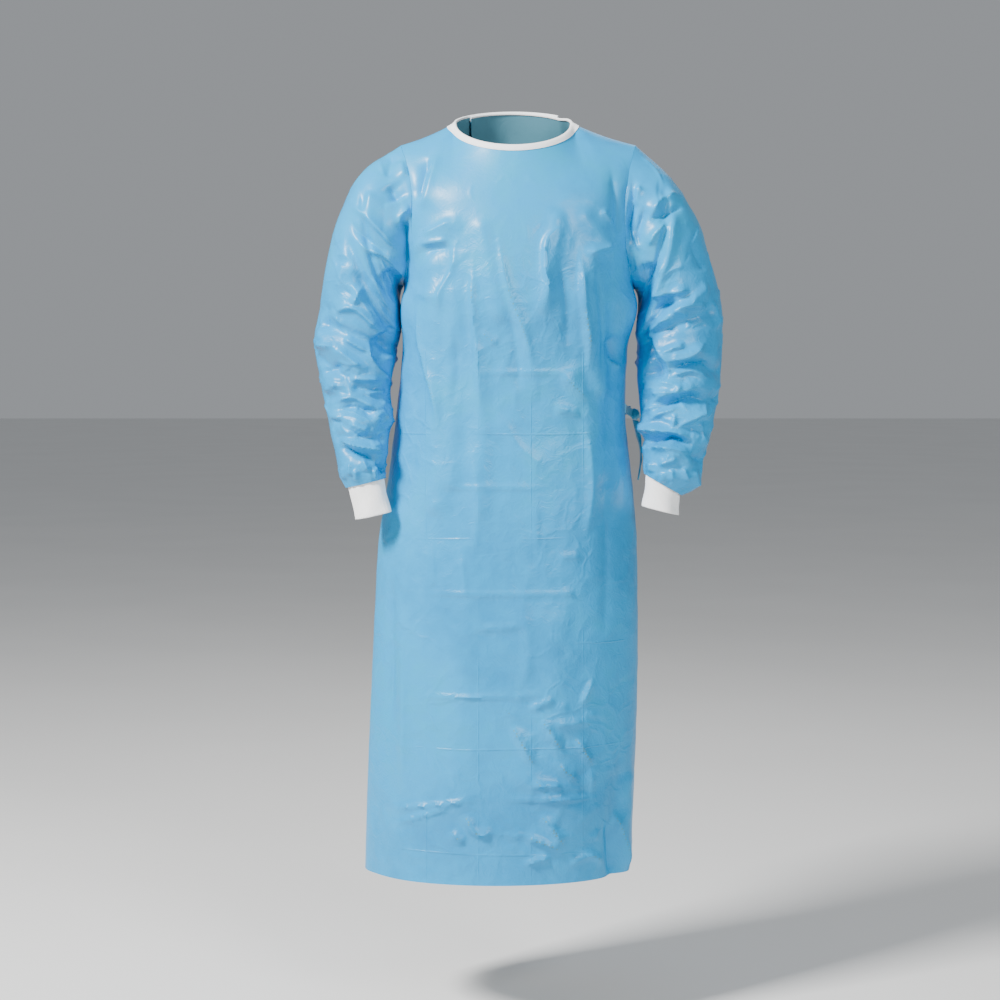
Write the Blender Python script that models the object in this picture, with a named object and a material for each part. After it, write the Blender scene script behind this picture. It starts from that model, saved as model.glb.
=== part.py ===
"""Surgical gown in its worn shape, held open with nobody in it.

Metres, +Z up, the front faces -Y. The origin is the middle of the neck opening, level with
the points where the shoulder seams meet the neck. Left and right are the wearer's own, so
the left sleeve is at +X. Each panel is a grid of points worked out from the tables of
sections below, given a wall towards its inside, and parted from its neighbours at the seams.
"""

import math
from collections import namedtuple

import bpy
import numpy as np
from mathutils import Vector
from mathutils.bvhtree import BVHTree

# Wall and seams
CLOTH = 0.0015
SEAM_GAP = 0.0003
RIB_KNIT = 0.0022
LAP_STEP = 0.0062
LEAST_MITRE = 0.75

# Neck opening, as an ellipse that tips forward
NECK_HALF_WIDTH = 0.0925
NECK_SIDE_Y = 0.002
NECK_FRONT_DEPTH = 0.084
NECK_BACK_DEPTH = 0.078
NECK_FRONT_DROP = 0.042
NECK_BACK_RISE = 0.024

# Shoulder seams and the points where they meet the sleeves
SHOULDER_CENTRE_X = 0.008
SHOULDER_HALF_WIDTH = 0.186
SHOULDER_DROP = 0.035
SHOULDER_SAG = 0.003
SHOULDER_Y = 0.004
SHOULDER_STATION = 1.180

# Share of a panel's half width that the neck takes up
NECK_SHARE = 0.62

# How boxy a section is: 1 is an ellipse, less is flatter in front and behind
SECTION_POWER = 0.8

# The two backs lap over the middle by this many columns each, and between these shares of
# the half width the under one is set in
LAP_COLUMNS = 4
LAP_START = 0.50
LAP_FULL = 0.39

# Binding round the neck
BINDING_WIDTH = 0.009
BINDING_INSIDE = 0.003
BINDING_CLOTH = 0.0009
BINDING_GAP = 0.0006
SEAM_RELIEF = 0.0008

# How far out from a piece its place on the cloth is looked for
REACH = 0.012

# Grid: columns on each shoulder, across the neck, and rows below and beside the armholes
SHOULDER_COLUMNS = 4
NECK_COLUMNS = 14
BODY_ROWS = 26
ARMHOLE_ROWS = 11
TOP_ROW = 0.0100
SLEEVE_ROWS = 27
CUFF_ROWS = 4

LevelRow = namedtuple("LevelRow", "name z centre_x half_width front_y back_y")
LEVEL_ROWS = (
    LevelRow("hem", -1.185, -0.025, 0.211, -0.165, 0.152),
    LevelRow("shin", -1.060, -0.019, 0.213, -0.161, 0.150),
    LevelRow("knee", -0.900, -0.013, 0.2125, -0.154, 0.146),
    LevelRow("thigh", -0.760, -0.010, 0.2095, -0.148, 0.142),
    LevelRow("hip", -0.650, -0.008, 0.205, -0.142, 0.137),
    LevelRow("upper_hip", -0.560, -0.005, 0.194, -0.136, 0.128),
    LevelRow("waist", -0.465, -0.004, 0.183, -0.130, 0.114),
    LevelRow("ribs", -0.360, 0.003, 0.179, -0.131, 0.122),
    LevelRow("armpit", -0.265, 0.009, 0.183, -0.135, 0.128),
)

ChestRow = namedtuple(
    "ChestRow", "name edge_z front_z back_z half_width edge_y front_y back_y wrap_deg"
)
CHEST_CENTRE_X = 0.008
CHEST_ROWS = (
    ChestRow("underarm", -0.248, -0.244, -0.240, 0.1775, 0.030, -0.134, 0.129, 79),
    ChestRow("low_armhole", -0.222, -0.216, -0.209, 0.172, 0.049, -0.131, 0.130, 72),
    ChestRow("mid_armhole", -0.158, -0.162, -0.135, 0.167, 0.066, -0.122, 0.127, 64),
    ChestRow("high_armhole", -0.092, -0.108, -0.062, 0.171, 0.054, -0.106, 0.110, 60),
)

# The sleeves, from the armhole down: a ring is given by its outer and inner ends as seen
# from the front, its middle along Y and its half depth.
SleeveRow = namedtuple(
    "SleeveRow", "name outer_x outer_z inner_x inner_z centre_y half_depth"
)
RIGHT_SLEEVE_ROWS = (
    SleeveRow("cap", -0.238, -0.076, -0.1780, -0.273, 0.003, 0.076),
    SleeveRow("upper", -0.278, -0.150, -0.1785, -0.294, 0.002, 0.076),
    SleeveRow("bicep", -0.295, -0.214, -0.1785, -0.321, 0.001, 0.073),
    SleeveRow("above_elbow", -0.306, -0.279, -0.1795, -0.344, 0.000, 0.070),
    SleeveRow("elbow", -0.316, -0.343, -0.1850, -0.370, -0.006, 0.065),
    SleeveRow("below_elbow", -0.306, -0.404, -0.195, -0.414, -0.020, 0.059),
    SleeveRow("forearm", -0.294, -0.458, -0.192, -0.460, -0.038, 0.053),
    SleeveRow("low_forearm", -0.282, -0.512, -0.197, -0.504, -0.056, 0.046),
    SleeveRow("wrist", -0.268, -0.560, -0.199, -0.545, -0.070, 0.036),
    SleeveRow("cuff_seam", -0.261, -0.573, -0.2005, -0.558, -0.074, 0.0290),
)
LEFT_SLEEVE_ROWS = (
    SleeveRow("cap", 0.254, -0.092, 0.1975, -0.273, 0.003, 0.076),
    SleeveRow("upper", 0.291, -0.153, 0.1980, -0.293, 0.002, 0.076),
    SleeveRow("bicep", 0.313, -0.216, 0.1965, -0.319, 0.001, 0.073),
    SleeveRow("above_elbow", 0.329, -0.279, 0.1950, -0.339, 0.000, 0.070),
    SleeveRow("elbow", 0.332, -0.343, 0.1965, -0.364, -0.004, 0.067),
    SleeveRow("below_elbow", 0.329, -0.406, 0.197, -0.402, -0.014, 0.062),
    SleeveRow("forearm", 0.317, -0.468, 0.201, -0.452, -0.028, 0.057),
    SleeveRow("low_forearm", 0.302, -0.524, 0.203, -0.500, -0.042, 0.052),
    SleeveRow("wrist", 0.284, -0.577, 0.206, -0.540, -0.052, 0.042),
    SleeveRow("cuff_seam", 0.264, -0.586, 0.207, -0.553, -0.056, 0.0295),
)
RIGHT_CUFF_EDGE = SleeveRow("cuff_edge", -0.2465, -0.6220, -0.1900, -0.6095, -0.086, 0.0250)
LEFT_CUFF_EDGE = SleeveRow("cuff_edge", 0.2600, -0.6170, 0.2010, -0.6020, -0.063, 0.0255)
CUFF_CLEARANCE = 0.0004
CUFF_TUCK = 0.007

# Folds are soft ridges, or troughs where the height is below 0. On the body they run from
# one place to another as seen from the front or back. On a sleeve, across is measured round
# it from its outer edge towards the front, and down is measured from the armhole.
Fold = namedtuple("Fold", "x0 z0 x1 z1 width height")
FRONT_FOLDS = (
    Fold(-0.125, -0.23, -0.118, -0.60, 0.017, 0.0070),
    Fold(-0.092, -0.27, -0.096, -0.56, 0.014, 0.0055),
    Fold(-0.050, -0.17, -0.024, -0.30, 0.013, 0.0035),
    Fold(-0.052, -0.36, -0.048, -0.60, 0.015, 0.0040),
    Fold(0.066, -0.16, 0.048, -0.29, 0.013, 0.0045),
    Fold(0.122, -0.21, 0.138, -0.42, 0.016, 0.0075),
    Fold(0.092, -0.40, 0.122, -0.47, 0.016, 0.0040),
    Fold(0.158, -0.30, 0.150, -0.56, 0.016, -0.0060),
    Fold(-0.155, -0.20, -0.095, -0.165, 0.014, 0.0045),
    Fold(0.150, -0.20, 0.110, -0.155, 0.014, 0.0040),
    Fold(-0.075, -0.70, -0.085, -1.05, 0.030, 0.0040),
    Fold(0.060, -0.78, 0.075, -1.10, 0.030, 0.0040),
    Fold(0.020, -1.02, 0.105, -1.08, 0.018, 0.0045),
    Fold(0.165, -1.03, 0.158, -1.19, 0.012, -0.0055),
    Fold(0.182, -1.04, 0.176, -1.19, 0.010, 0.0045),
    Fold(-0.222, -0.62, -0.232, -1.19, 0.010, 0.0040),
)
BACK_FOLDS = (
    Fold(-0.120, -0.30, -0.100, -0.62, 0.017, 0.0070),
    Fold(-0.062, -0.38, -0.060, -0.70, 0.016, 0.0080),
    Fold(-0.012, -0.34, -0.020, -0.66, 0.015, 0.0065),
    Fold(0.040, -0.40, 0.034, -0.74, 0.016, 0.0070),
    Fold(0.135, -0.33, 0.128, -0.60, 0.015, 0.0060),
    Fold(-0.150, -0.62, -0.160, -1.19, 0.026, 0.0070),
    Fold(-0.070, -0.80, -0.078, -1.19, 0.028, 0.0070),
    Fold(0.008, -0.74, 0.006, -1.19, 0.026, 0.0065),
    Fold(0.140, -0.66, 0.150, -1.19, 0.026, 0.0060),
    Fold(-0.135, -0.14, -0.060, -0.20, 0.018, 0.0040),
    Fold(0.140, -0.14, 0.085, -0.21, 0.018, 0.0040),
)
SleeveFold = namedtuple("SleeveFold", "across0 down0 across1 down1 width height")
SLEEVE_RADIUS = 0.065
RIGHT_SLEEVE_FOLDS = (
    SleeveFold(0.060, 0.080, 0.140, 0.150, 0.010, -0.0060),
    SleeveFold(0.070, 0.150, 0.150, 0.190, 0.011, -0.0055),
    SleeveFold(0.100, 0.180, 0.160, 0.235, 0.014, -0.0095),
    SleeveFold(0.045, 0.285, 0.150, 0.290, 0.011, -0.0070),
    SleeveFold(0.040, 0.305, 0.115, 0.345, 0.012, 0.0060),
    SleeveFold(0.010, 0.330, 0.110, 0.375, 0.011, -0.0050),
    SleeveFold(0.035, 0.405, 0.150, 0.400, 0.011, -0.0055),
    SleeveFold(0.040, 0.440, 0.140, 0.445, 0.010, 0.0050),
    SleeveFold(0.045, 0.475, 0.160, 0.480, 0.010, -0.0060),
    SleeveFold(0.250, 0.110, 0.330, 0.170, 0.014, -0.0055),
    SleeveFold(0.240, 0.260, 0.350, 0.240, 0.013, -0.0065),
    SleeveFold(0.230, 0.320, 0.360, 0.335, 0.012, 0.0055),
    SleeveFold(0.240, 0.410, 0.345, 0.395, 0.012, -0.0055),
    SleeveFold(0.230, 0.470, 0.340, 0.480, 0.011, -0.0050),
)
LEFT_SLEEVE_FOLDS = (
    SleeveFold(0.055, 0.065, 0.150, 0.110, 0.010, -0.0065),
    SleeveFold(0.080, 0.100, 0.135, 0.150, 0.014, 0.0065),
    SleeveFold(0.120, 0.190, 0.165, 0.240, 0.014, -0.0090),
    SleeveFold(0.060, 0.225, 0.150, 0.235, 0.011, 0.0060),
    SleeveFold(0.055, 0.255, 0.150, 0.260, 0.011, -0.0055),
    SleeveFold(0.080, 0.320, 0.150, 0.320, 0.012, 0.0055),
    SleeveFold(0.020, 0.350, 0.160, 0.355, 0.012, -0.0070),
    SleeveFold(0.040, 0.395, 0.165, 0.405, 0.013, -0.0055),
    SleeveFold(0.055, 0.450, 0.170, 0.440, 0.011, -0.0065),
    SleeveFold(0.070, 0.500, 0.140, 0.490, 0.011, 0.0055),
    SleeveFold(0.250, 0.110, 0.330, 0.160, 0.014, -0.0055),
    SleeveFold(0.240, 0.260, 0.350, 0.250, 0.013, -0.0065),
    SleeveFold(0.235, 0.330, 0.355, 0.345, 0.012, 0.0055),
    SleeveFold(0.240, 0.430, 0.345, 0.420, 0.012, -0.0060),
)
SLEEVE_LENGTH = 0.560
FOLD_FADE = 0.035

# Ties at the waist: the long one is sewn on the outer back and comes round to the wearer's
# left side, where it is knotted to the short one sewn beside the side seam. Both ends hang
# free behind the sleeve.
TIE_WIDTH = 0.014
TIE_CLOTH = 0.0012
TIE_GAP = 0.0004
TIE_Z = -0.456
TIE_STEPS = 16
STRAP_START_DEG = 66.0
STRAP_END_DEG = 20.0
TieRow = namedtuple("TieRow", "x y z lean_deg")
KNOT = (0.1970, 0.0450, -0.4620)
KNOT_SIZE = (0.0080, 0.0085, 0.0100)
# A row with no x lies on the side of the body
SHORT_TIE = (
    TieRow(None, -0.0180, -0.4500, 0),
    TieRow(None, 0.0020, -0.4520, 0),
    TieRow(0.1845, 0.0230, -0.4560, 0),
    TieRow(0.1910, 0.0370, -0.4600, 0),
)
LONG_END = (
    TieRow(0.2080, 0.0520, -0.4650, 15),
    TieRow(0.2200, 0.0640, -0.4850, 10),
    TieRow(0.2290, 0.0700, -0.5250, 0),
    TieRow(0.2330, 0.0710, -0.5650, -10),
    TieRow(0.2310, 0.0700, -0.6000, -15),
)
SHORT_END = (
    TieRow(0.1985, 0.0480, -0.4745, 35),
    TieRow(0.2030, 0.0560, -0.4950, 25),
    TieRow(0.2080, 0.0600, -0.5200, 10),
    TieRow(0.2085, 0.0580, -0.5480, 0),
    TieRow(0.2040, 0.0560, -0.5720, -5),
)

Finish = namedtuple("Finish", "colour roughness")
BLUE = Finish((0.30, 0.60, 0.78, 1.0), 0.40)
WHITE = Finish((0.90, 0.92, 0.93, 1.0), 0.60)


def hermite(knots, rows, at):
    """Smooth curve through rows of points, evaluated at the places given."""
    knots = np.asarray(knots, float)
    rows = np.asarray(rows, float)
    step = np.diff(knots)
    slope = np.diff(rows, axis=0) / step.reshape((-1,) + (1,) * (rows.ndim - 1))
    tangent = np.empty_like(rows)
    tangent[0], tangent[-1] = slope[0], slope[-1]
    before = step[:-1].reshape((-1,) + (1,) * (rows.ndim - 1))
    after = step[1:].reshape(before.shape)
    tangent[1:-1] = (slope[:-1] * after + slope[1:] * before) / (before + after)
    place = np.clip(np.searchsorted(knots, at, side="right") - 1, 0, len(step) - 1)
    shape = (-1,) + (1,) * (rows.ndim - 1)
    width = step[place].reshape(shape)
    t = ((np.asarray(at) - knots[place]) / step[place]).reshape(shape)
    return (
        rows[place] * (1 + 2 * t) * (1 - t) ** 2
        + rows[place + 1] * t * t * (3 - 2 * t)
        + width * (tangent[place] * t * (1 - t) ** 2 - tangent[place + 1] * t * t * (1 - t))
    )


def smooth_step(value, start, end):
    """0 before start, 1 after end, and smooth in between."""
    t = np.clip((value - start) / (end - start), 0, 1)
    return t * t * (3 - 2 * t)


def fold_height(across, down, folds):
    """Sum of the folds' heights at each place on the cloth."""
    total = np.zeros_like(across)
    for x0, z0, x1, z1, width, height in folds:
        run = np.array([x1 - x0, z1 - z0])
        share = ((across - x0) * run[0] + (down - z0) * run[1]) / (run @ run)
        share = np.clip(share, 0, 1)
        away = np.hypot(across - x0 - share * run[0], down - z0 - share * run[1])
        total += height * np.exp(-((away / width) ** 2))
    return total


def level_row(row, u, facing):
    """Points of a section below the armholes, on the front (facing -1) or the back (+1)."""
    angle = u * math.pi / 2
    depth = (row.front_y if facing < 0 else row.back_y) - SHOULDER_Y
    x = row.centre_x + row.half_width * np.sin(angle)
    y = SHOULDER_Y + depth * np.abs(np.cos(angle)) ** SECTION_POWER
    return np.stack([x, y, np.full_like(u, row.z)], axis=-1)


def chest_row(row, u, facing):
    """Points of a row that ends at the armholes on both sides."""
    wrap = math.radians(row.wrap_deg)
    mid_y = row.front_y if facing < 0 else row.back_y
    mid_z = row.front_z if facing < 0 else row.back_z
    least = math.cos(wrap) ** SECTION_POWER
    bulge = (np.cos(u * wrap) ** SECTION_POWER - least) / (1 - least)
    edge_y = SHOULDER_Y + facing * row.edge_y
    x = CHEST_CENTRE_X + row.half_width * np.sin(u * wrap) / math.sin(wrap)
    y = edge_y + (mid_y - edge_y) * bulge
    z = row.edge_z + (mid_z - row.edge_z) * (1 - u * u)
    return np.stack([x, y, z], axis=-1)


def top_row(u, facing):
    """Points of a panel's upper edge: shoulder seam, neck, shoulder seam."""
    side = np.sign(u)
    share = np.clip(np.abs(u) / NECK_SHARE, 0, 1)
    round_neck = np.cos(share * math.pi / 2)
    out = np.clip((np.abs(u) - NECK_SHARE) / (1 - NECK_SHARE), 0, 1)
    end_x = SHOULDER_CENTRE_X + side * SHOULDER_HALF_WIDTH
    x = side * NECK_HALF_WIDTH * np.sin(share * math.pi / 2)
    x = x + out * (end_x - side * NECK_HALF_WIDTH)
    depth = NECK_FRONT_DEPTH if facing < 0 else NECK_BACK_DEPTH
    rise = -NECK_FRONT_DROP if facing < 0 else NECK_BACK_RISE
    y = NECK_SIDE_Y + facing * depth * round_neck + out * (SHOULDER_Y - NECK_SIDE_Y)
    z = rise * round_neck - SHOULDER_DROP * out - SHOULDER_SAG * np.sin(math.pi * out)
    return np.stack([x, y, z], axis=-1)


def body_surface(places, stations, facing):
    """Grid of points of the cloth's outside, a row for each station above the hem."""
    u = np.concatenate([[-1.0], places, [1.0]])
    rows = [level_row(row, u, facing) for row in LEVEL_ROWS]
    rows += [chest_row(row, u, facing) for row in CHEST_ROWS]
    knots = [row.z - LEVEL_ROWS[0].z for row in LEVEL_ROWS]
    knots += [row.edge_z - LEVEL_ROWS[0].z for row in CHEST_ROWS]
    top = top_row(u, facing)
    # Past the shoulder seam the cloth carries on down the other side, and past the neck
    # edge it would carry on straight, so the panel meets its neighbour without a ridge
    over = chest_row(CHEST_ROWS[-1], u, -facing)
    straight = 2 * top - rows[-1]
    past_neck = smooth_step(np.abs(u), NECK_SHARE - 0.06, NECK_SHARE + 0.06)[:, None]
    ghost = past_neck * over + (1 - past_neck) * straight
    armpit = LEVEL_ROWS[-1].z - LEVEL_ROWS[0].z
    rows += [top, ghost]
    knots += [SHOULDER_STATION, 2 * SHOULDER_STATION - knots[-1]]
    points = hermite(knots, rows, stations)
    # Below the armpit, the front and the back meet in one side seam
    below = stations <= armpit
    for column, side in ((0, -1), (-1, 1)):
        off = np.where(below, points[:, column, 1] - SHOULDER_Y, 0.0)
        points[..., 1] -= off[:, None] * smooth_step(side * u, 0.5, 1.0)[None, :]
    return points[:, 1:-1]


def grid_normals(points):
    """Unit normals of a grid of points, by the differences along its rows and columns."""
    along = np.gradient(points, axis=0)
    across = np.gradient(points, axis=1)
    normal = np.cross(across, along)
    return normal / np.linalg.norm(normal, axis=-1, keepdims=True)


def row_stations():
    """Stations of the grid's rows, and the place of the row at the armpit among them."""
    armpit = LEVEL_ROWS[-1].z - LEVEL_ROWS[0].z
    below = np.linspace(0, armpit, BODY_ROWS + 1)
    beside = np.linspace(armpit, SHOULDER_STATION - TOP_ROW, ARMHOLE_ROWS)
    return np.concatenate([below, beside[1:], [SHOULDER_STATION]]), BODY_ROWS


def shoulder_columns():
    """Places of the columns from a panel's side to the neck, as shares of its half width."""
    return np.linspace(1, NECK_SHARE, SHOULDER_COLUMNS + 1)


def front_columns():
    side = shoulder_columns()
    neck = np.linspace(-NECK_SHARE, NECK_SHARE, NECK_COLUMNS + 1)
    return np.concatenate([-side, neck[1:-1], side[::-1]])


def back_columns():
    """Columns of the outer back, from the wearer's right side to past the middle."""
    side = shoulder_columns()
    neck = np.linspace(-NECK_SHARE, NECK_SHARE, NECK_COLUMNS + 1)
    return np.concatenate([-side, neck[1 : NECK_COLUMNS // 2 + LAP_COLUMNS + 1]])


def body_panel(u, facing, folds, lap_in=None):
    """Grid of a body panel with its folds, and how far the lapped part is set inwards."""
    stations, _ = row_stations()
    points = body_surface(u, stations, facing)
    normals = grid_normals(points) * (-facing)
    heights = fold_height(points[..., 0], points[..., 2], folds)
    heights *= smooth_step(SHOULDER_STATION - stations, 0.03, 0.10)[:, None]
    heights *= smooth_step(1 - np.abs(u), 0.0, 0.12)[None, :]
    if lap_in is not None:
        heights = heights - lap_in[None, :]
    return points + normals * heights[..., None]


def ring(row, angles):
    """Points round a sleeve or cuff, from its outer edge by the front to its inner edge."""
    outer = np.array([row.outer_x, row.centre_y, row.outer_z])
    inner = np.array([row.inner_x, row.centre_y, row.inner_z])
    forward = np.array([0.0, -row.half_depth, 0.0])
    centre = (outer + inner) / 2
    reach = (outer - inner) / 2
    return centre + np.outer(np.cos(angles), reach) + np.outer(np.sin(angles), forward)


def armhole(front, back, side):
    """The armhole's points, from the shoulder down the front and back up behind."""
    _, armpit = row_stations()
    column = -1 if side > 0 else 0
    down_front = front[armpit:, column][::-1]
    up_back = back[armpit + 1 : -1, column]
    return np.concatenate([down_front, up_back])


def armhole_angles():
    """Angle round the sleeve of each armhole point, even along the armhole."""
    stations, armpit = row_stations()
    share = (SHOULDER_STATION - stations[armpit:]) / (SHOULDER_STATION - stations[armpit])
    down_front = share[::-1] * math.pi
    return np.concatenate([down_front, 2 * math.pi - share[1:-1] * math.pi])


def sleeve_surface(loop, rows, folds):
    """Grid of a sleeve: a ring for each step from the armhole to the cuff."""
    angles = armhole_angles()
    rings = [loop] + [ring(row, angles) for row in rows]
    middles = np.array([points.mean(axis=0) for points in rings])
    # Even steps between the rings, by the mean of how far the middle and the outside move
    gaps = np.linalg.norm(np.diff(middles, axis=0), axis=1)
    gaps = (gaps + np.linalg.norm(np.diff([r[0] for r in rings], axis=0), axis=1)) / 2
    knots = np.concatenate([[0], np.cumsum(gaps)])
    places = np.linspace(0, knots[-1], SLEEVE_ROWS + 1)
    points = hermite(knots, rings, places)
    down = np.broadcast_to(places[:, None] * SLEEVE_LENGTH / knots[-1], points.shape[:2])
    across = np.broadcast_to(angles[None, :] * SLEEVE_RADIUS, points.shape[:2])
    heights = fold_height(across, down, folds)
    heights *= smooth_step(down, 0.0, FOLD_FADE) * smooth_step(SLEEVE_LENGTH - down, 0, FOLD_FADE)
    middle = points.mean(axis=1, keepdims=True)
    outward = points - middle
    outward /= np.linalg.norm(outward, axis=-1, keepdims=True)
    return points + outward * heights[..., None]


def closed_normals(points, outward_from):
    """Normals of a tube's grid, whose columns run round and meet."""
    wrapped = np.concatenate([points[:, -1:], points, points[:, :1]], axis=1)
    normal = grid_normals(wrapped)[:, 1:-1]
    flip = np.sign(((points - outward_from) * normal).sum(axis=-1).mean())
    return normal * flip


class Panel:
    """A piece of cloth: a grid of outside points, its normals and what its edges are."""

    def __init__(
        self, name, points, normals, tube=False, seams=(), cloth=CLOTH, finish=BLUE, lean=1
    ):
        self.name = name
        self.lean = lean
        self.points = points
        self.normals = normals
        self.tube = tube
        self.seams = seams
        self.cloth = cloth
        self.finish = finish

    def part_at_seams(self):
        """Moves the edges that are sewn half a seam's gap back from the seam."""
        grids = {
            "bottom": self.points,
            "left": self.points.swapaxes(0, 1),
            "right": self.points.swapaxes(0, 1)[::-1],
        }
        for seam in self.seams:
            edge, inside = grids[seam][0], grids[seam][1]
            way = inside - edge
            along = np.gradient(edge, axis=0)
            along /= np.linalg.norm(along, axis=-1, keepdims=True)
            way -= along * (way * along).sum(axis=-1, keepdims=True)
            way /= np.linalg.norm(way, axis=-1, keepdims=True)
            if seam != "bottom":
                # The side seam ends at the armpit, where the sleeve's seam crosses it
                _, armpit = row_stations()
                way[armpit] += (edge[armpit - 1] - edge[armpit]) / np.linalg.norm(
                    edge[armpit - 1] - edge[armpit]
                )
            edge += way * SEAM_GAP / 2

    def outside_faces(self):
        """Triangles of the panel's outside."""
        rows, columns = self.points.shape[:2]
        faces = []
        for i in range(rows - 1):
            for j in range(columns if self.tube else columns - 1):
                k = (j + 1) % columns
                low, high = i * columns, (i + 1) * columns
                if self.lean > 0:
                    faces += [[low + j, low + k, high + k], [low + j, high + k, high + j]]
                else:
                    faces += [[low + k, high + k, high + j], [low + j, low + k, high + j]]
        return faces

    def build(self):
        """Makes the panel's object: outside, inside and a rim all round."""
        rows, columns = self.points.shape[:2]
        outside = self.points.reshape(-1, 3)
        inside = (self.points - self.normals * self.cloth).reshape(-1, 3)
        count = rows * columns
        faces = self.outside_faces()
        faces += [[index + count for index in reversed(triangle)] for triangle in faces]
        edges = []
        for row in (0, rows - 1):
            around = columns if self.tube else columns - 1
            edges += [(row * columns + j, row * columns + (j + 1) % columns) for j in range(around)]
        if not self.tube:
            for column in (0, columns - 1):
                edges += [(i * columns + column, (i + 1) * columns + column) for i in range(rows - 1)]
        for edge in edges:
            # Rims that face each other across a seam are split along the same diagonal
            low, high = sorted(edge, key=lambda index: tuple(outside[index][::-1]))
            faces += [[low, low + count, high + count], [low, high + count, high]]
        return make_object(self.name, np.concatenate([outside, inside]), faces, self.finish)


def make_object(name, vertices, faces, finish):
    """A mesh object whose faces all point out, with its own material."""
    mesh = bpy.data.meshes.new(name)
    mesh.from_pydata([tuple(map(float, v)) for v in vertices], [], faces)
    made = bpy.data.objects.new(name, mesh)
    bpy.context.scene.collection.objects.link(made)
    bpy.ops.object.select_all(action="DESELECT")
    made.select_set(True)
    bpy.context.view_layer.objects.active = made
    bpy.ops.object.mode_set(mode="EDIT")
    bpy.ops.mesh.select_all(action="SELECT")
    bpy.ops.mesh.normals_make_consistent(inside=False)
    bpy.ops.object.mode_set(mode="OBJECT")
    mesh.shade_smooth()
    mesh.set_sharp_from_angle(angle=math.radians(50))
    material = bpy.data.materials.new(name)
    material.use_nodes = True
    shader = material.node_tree.nodes["Principled BSDF"]
    shader.inputs["Base Color"].default_value = finish.colour
    shader.inputs["Roughness"].default_value = finish.roughness
    shader.inputs["Metallic"].default_value = 0.0
    mesh.materials.append(material)
    return made


def share_normals(panels):
    """Gives points that several panels have in common one way in, the mean of theirs.

    The body's panels count together as one, beside the sleeve. The way in is longer than 1
    where panels meet at an angle, so the wall keeps its thickness.
    """
    met = {}
    for panel in panels:
        for point, normal in zip(panel.points.reshape(-1, 3), panel.normals.reshape(-1, 3)):
            key = tuple(np.round(point * 1e5).astype(int))
            met.setdefault(key, {}).setdefault(panel.tube, []).append(normal.copy())
    for panel in panels:
        flat = panel.normals.reshape(-1, 3)
        for index, point in enumerate(panel.points.reshape(-1, 3)):
            groups = met[tuple(np.round(point * 1e5).astype(int))].values()
            normals = np.array([np.mean(group, axis=0) for group in groups])
            normals /= np.linalg.norm(normals, axis=1, keepdims=True)
            mean = normals.sum(axis=0)
            mean /= np.linalg.norm(mean)
            flat[index] = mean / max(LEAST_MITRE, (normals @ mean).mean())


def cloth_panels():
    """Front, two backs and two sleeves, as grids that share their seams."""
    front_u, back_u = front_columns(), back_columns()
    inner_u = -back_u[::-1]
    lap_in = LAP_STEP * smooth_step(-inner_u, -LAP_START, -LAP_FULL)
    front = body_panel(front_u, -1, FRONT_FOLDS)
    outer_back = body_panel(back_u, 1, BACK_FOLDS)
    inner_back = body_panel(inner_u, 1, BACK_FOLDS, lap_in)
    panels = [
        Panel("front", front, grid_normals(front), seams=("left", "right"), lean=-1),
        Panel("back_outer", outer_back, -grid_normals(outer_back), seams=("left",)),
        Panel("back_inner", inner_back, -grid_normals(inner_back), seams=("right",)),
    ]
    for side, name, rows, folds, back in (
        (-1, "sleeve_right", RIGHT_SLEEVE_ROWS, RIGHT_SLEEVE_FOLDS, outer_back),
        (1, "sleeve_left", LEFT_SLEEVE_ROWS, LEFT_SLEEVE_FOLDS, inner_back),
    ):
        loop = armhole(front, back, side)
        points = sleeve_surface(loop, rows, folds)
        normals = closed_normals(points, points.mean(axis=1, keepdims=True))
        panels.append(Panel(name, points, normals, tube=True, seams=("bottom",)))
    share_normals(panels)
    return panels


def part_shoulder_seam(panel):
    """Parts the shoulder stretches of a panel's upper edge, and leaves the neck edge."""
    top, below = panel.points[-1], panel.points[-2]
    columns = {
        "front": np.abs(front_columns()) >= NECK_SHARE - 1e-6,
        "back_outer": np.abs(back_columns()) >= NECK_SHARE - 1e-6,
        "back_inner": np.abs(back_columns()[::-1]) >= NECK_SHARE - 1e-6,
    }[panel.name]
    way = below - top
    way /= np.linalg.norm(way, axis=-1, keepdims=True)
    top[columns] += way[columns] * SEAM_GAP / 2


def neck_run(panels):
    """Stations round the neck edge, from the under back's end round the wearer's left, the
    front and the wearer's right to the outer back's end: each is a point of the edge, its
    normal, and the panels that the binding lies on there."""
    front, outer, inner = (panels[name] for name in ("front", "back_outer", "back_inner"))
    picks = (
        (inner, np.flatnonzero(-back_columns()[::-1] <= NECK_SHARE + 1e-6), (inner, front)),
        (
            front,
            np.flatnonzero(np.abs(front_columns()) < NECK_SHARE - 1e-6)[::-1],
            (front, inner, outer),
        ),
        (outer, np.flatnonzero(back_columns() >= -NECK_SHARE - 1e-6), (outer, front)),
    )
    edge = np.concatenate([panel.points[-1, columns] for panel, columns, _ in picks])
    normal = np.concatenate([panel.normals[-1, columns] for panel, columns, _ in picks])
    under = [tree for _, columns, under in picks for tree in [cloth_tree(under)] * len(columns)]
    return edge, normal, under


def cloth_tree(panels):
    """The outsides of some panels, to find the cloth below a place."""
    points, faces = [], []
    for panel in panels:
        start = len(points)
        points += [Vector(point) for point in panel.points.reshape(-1, 3)]
        faces += [[start + index for index in face] for face in panel.outside_faces()]
    return BVHTree.FromPolygons(points, faces)


def on_cloth(tree, place, normal):
    """The cloth's outside over or under a place, along the normal."""
    start = Vector(place + normal * REACH)
    hit = tree.ray_cast(start, Vector(-normal), 2 * REACH)[0]
    return np.array(hit if hit is not None else tree.find_nearest(Vector(place))[0])


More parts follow.
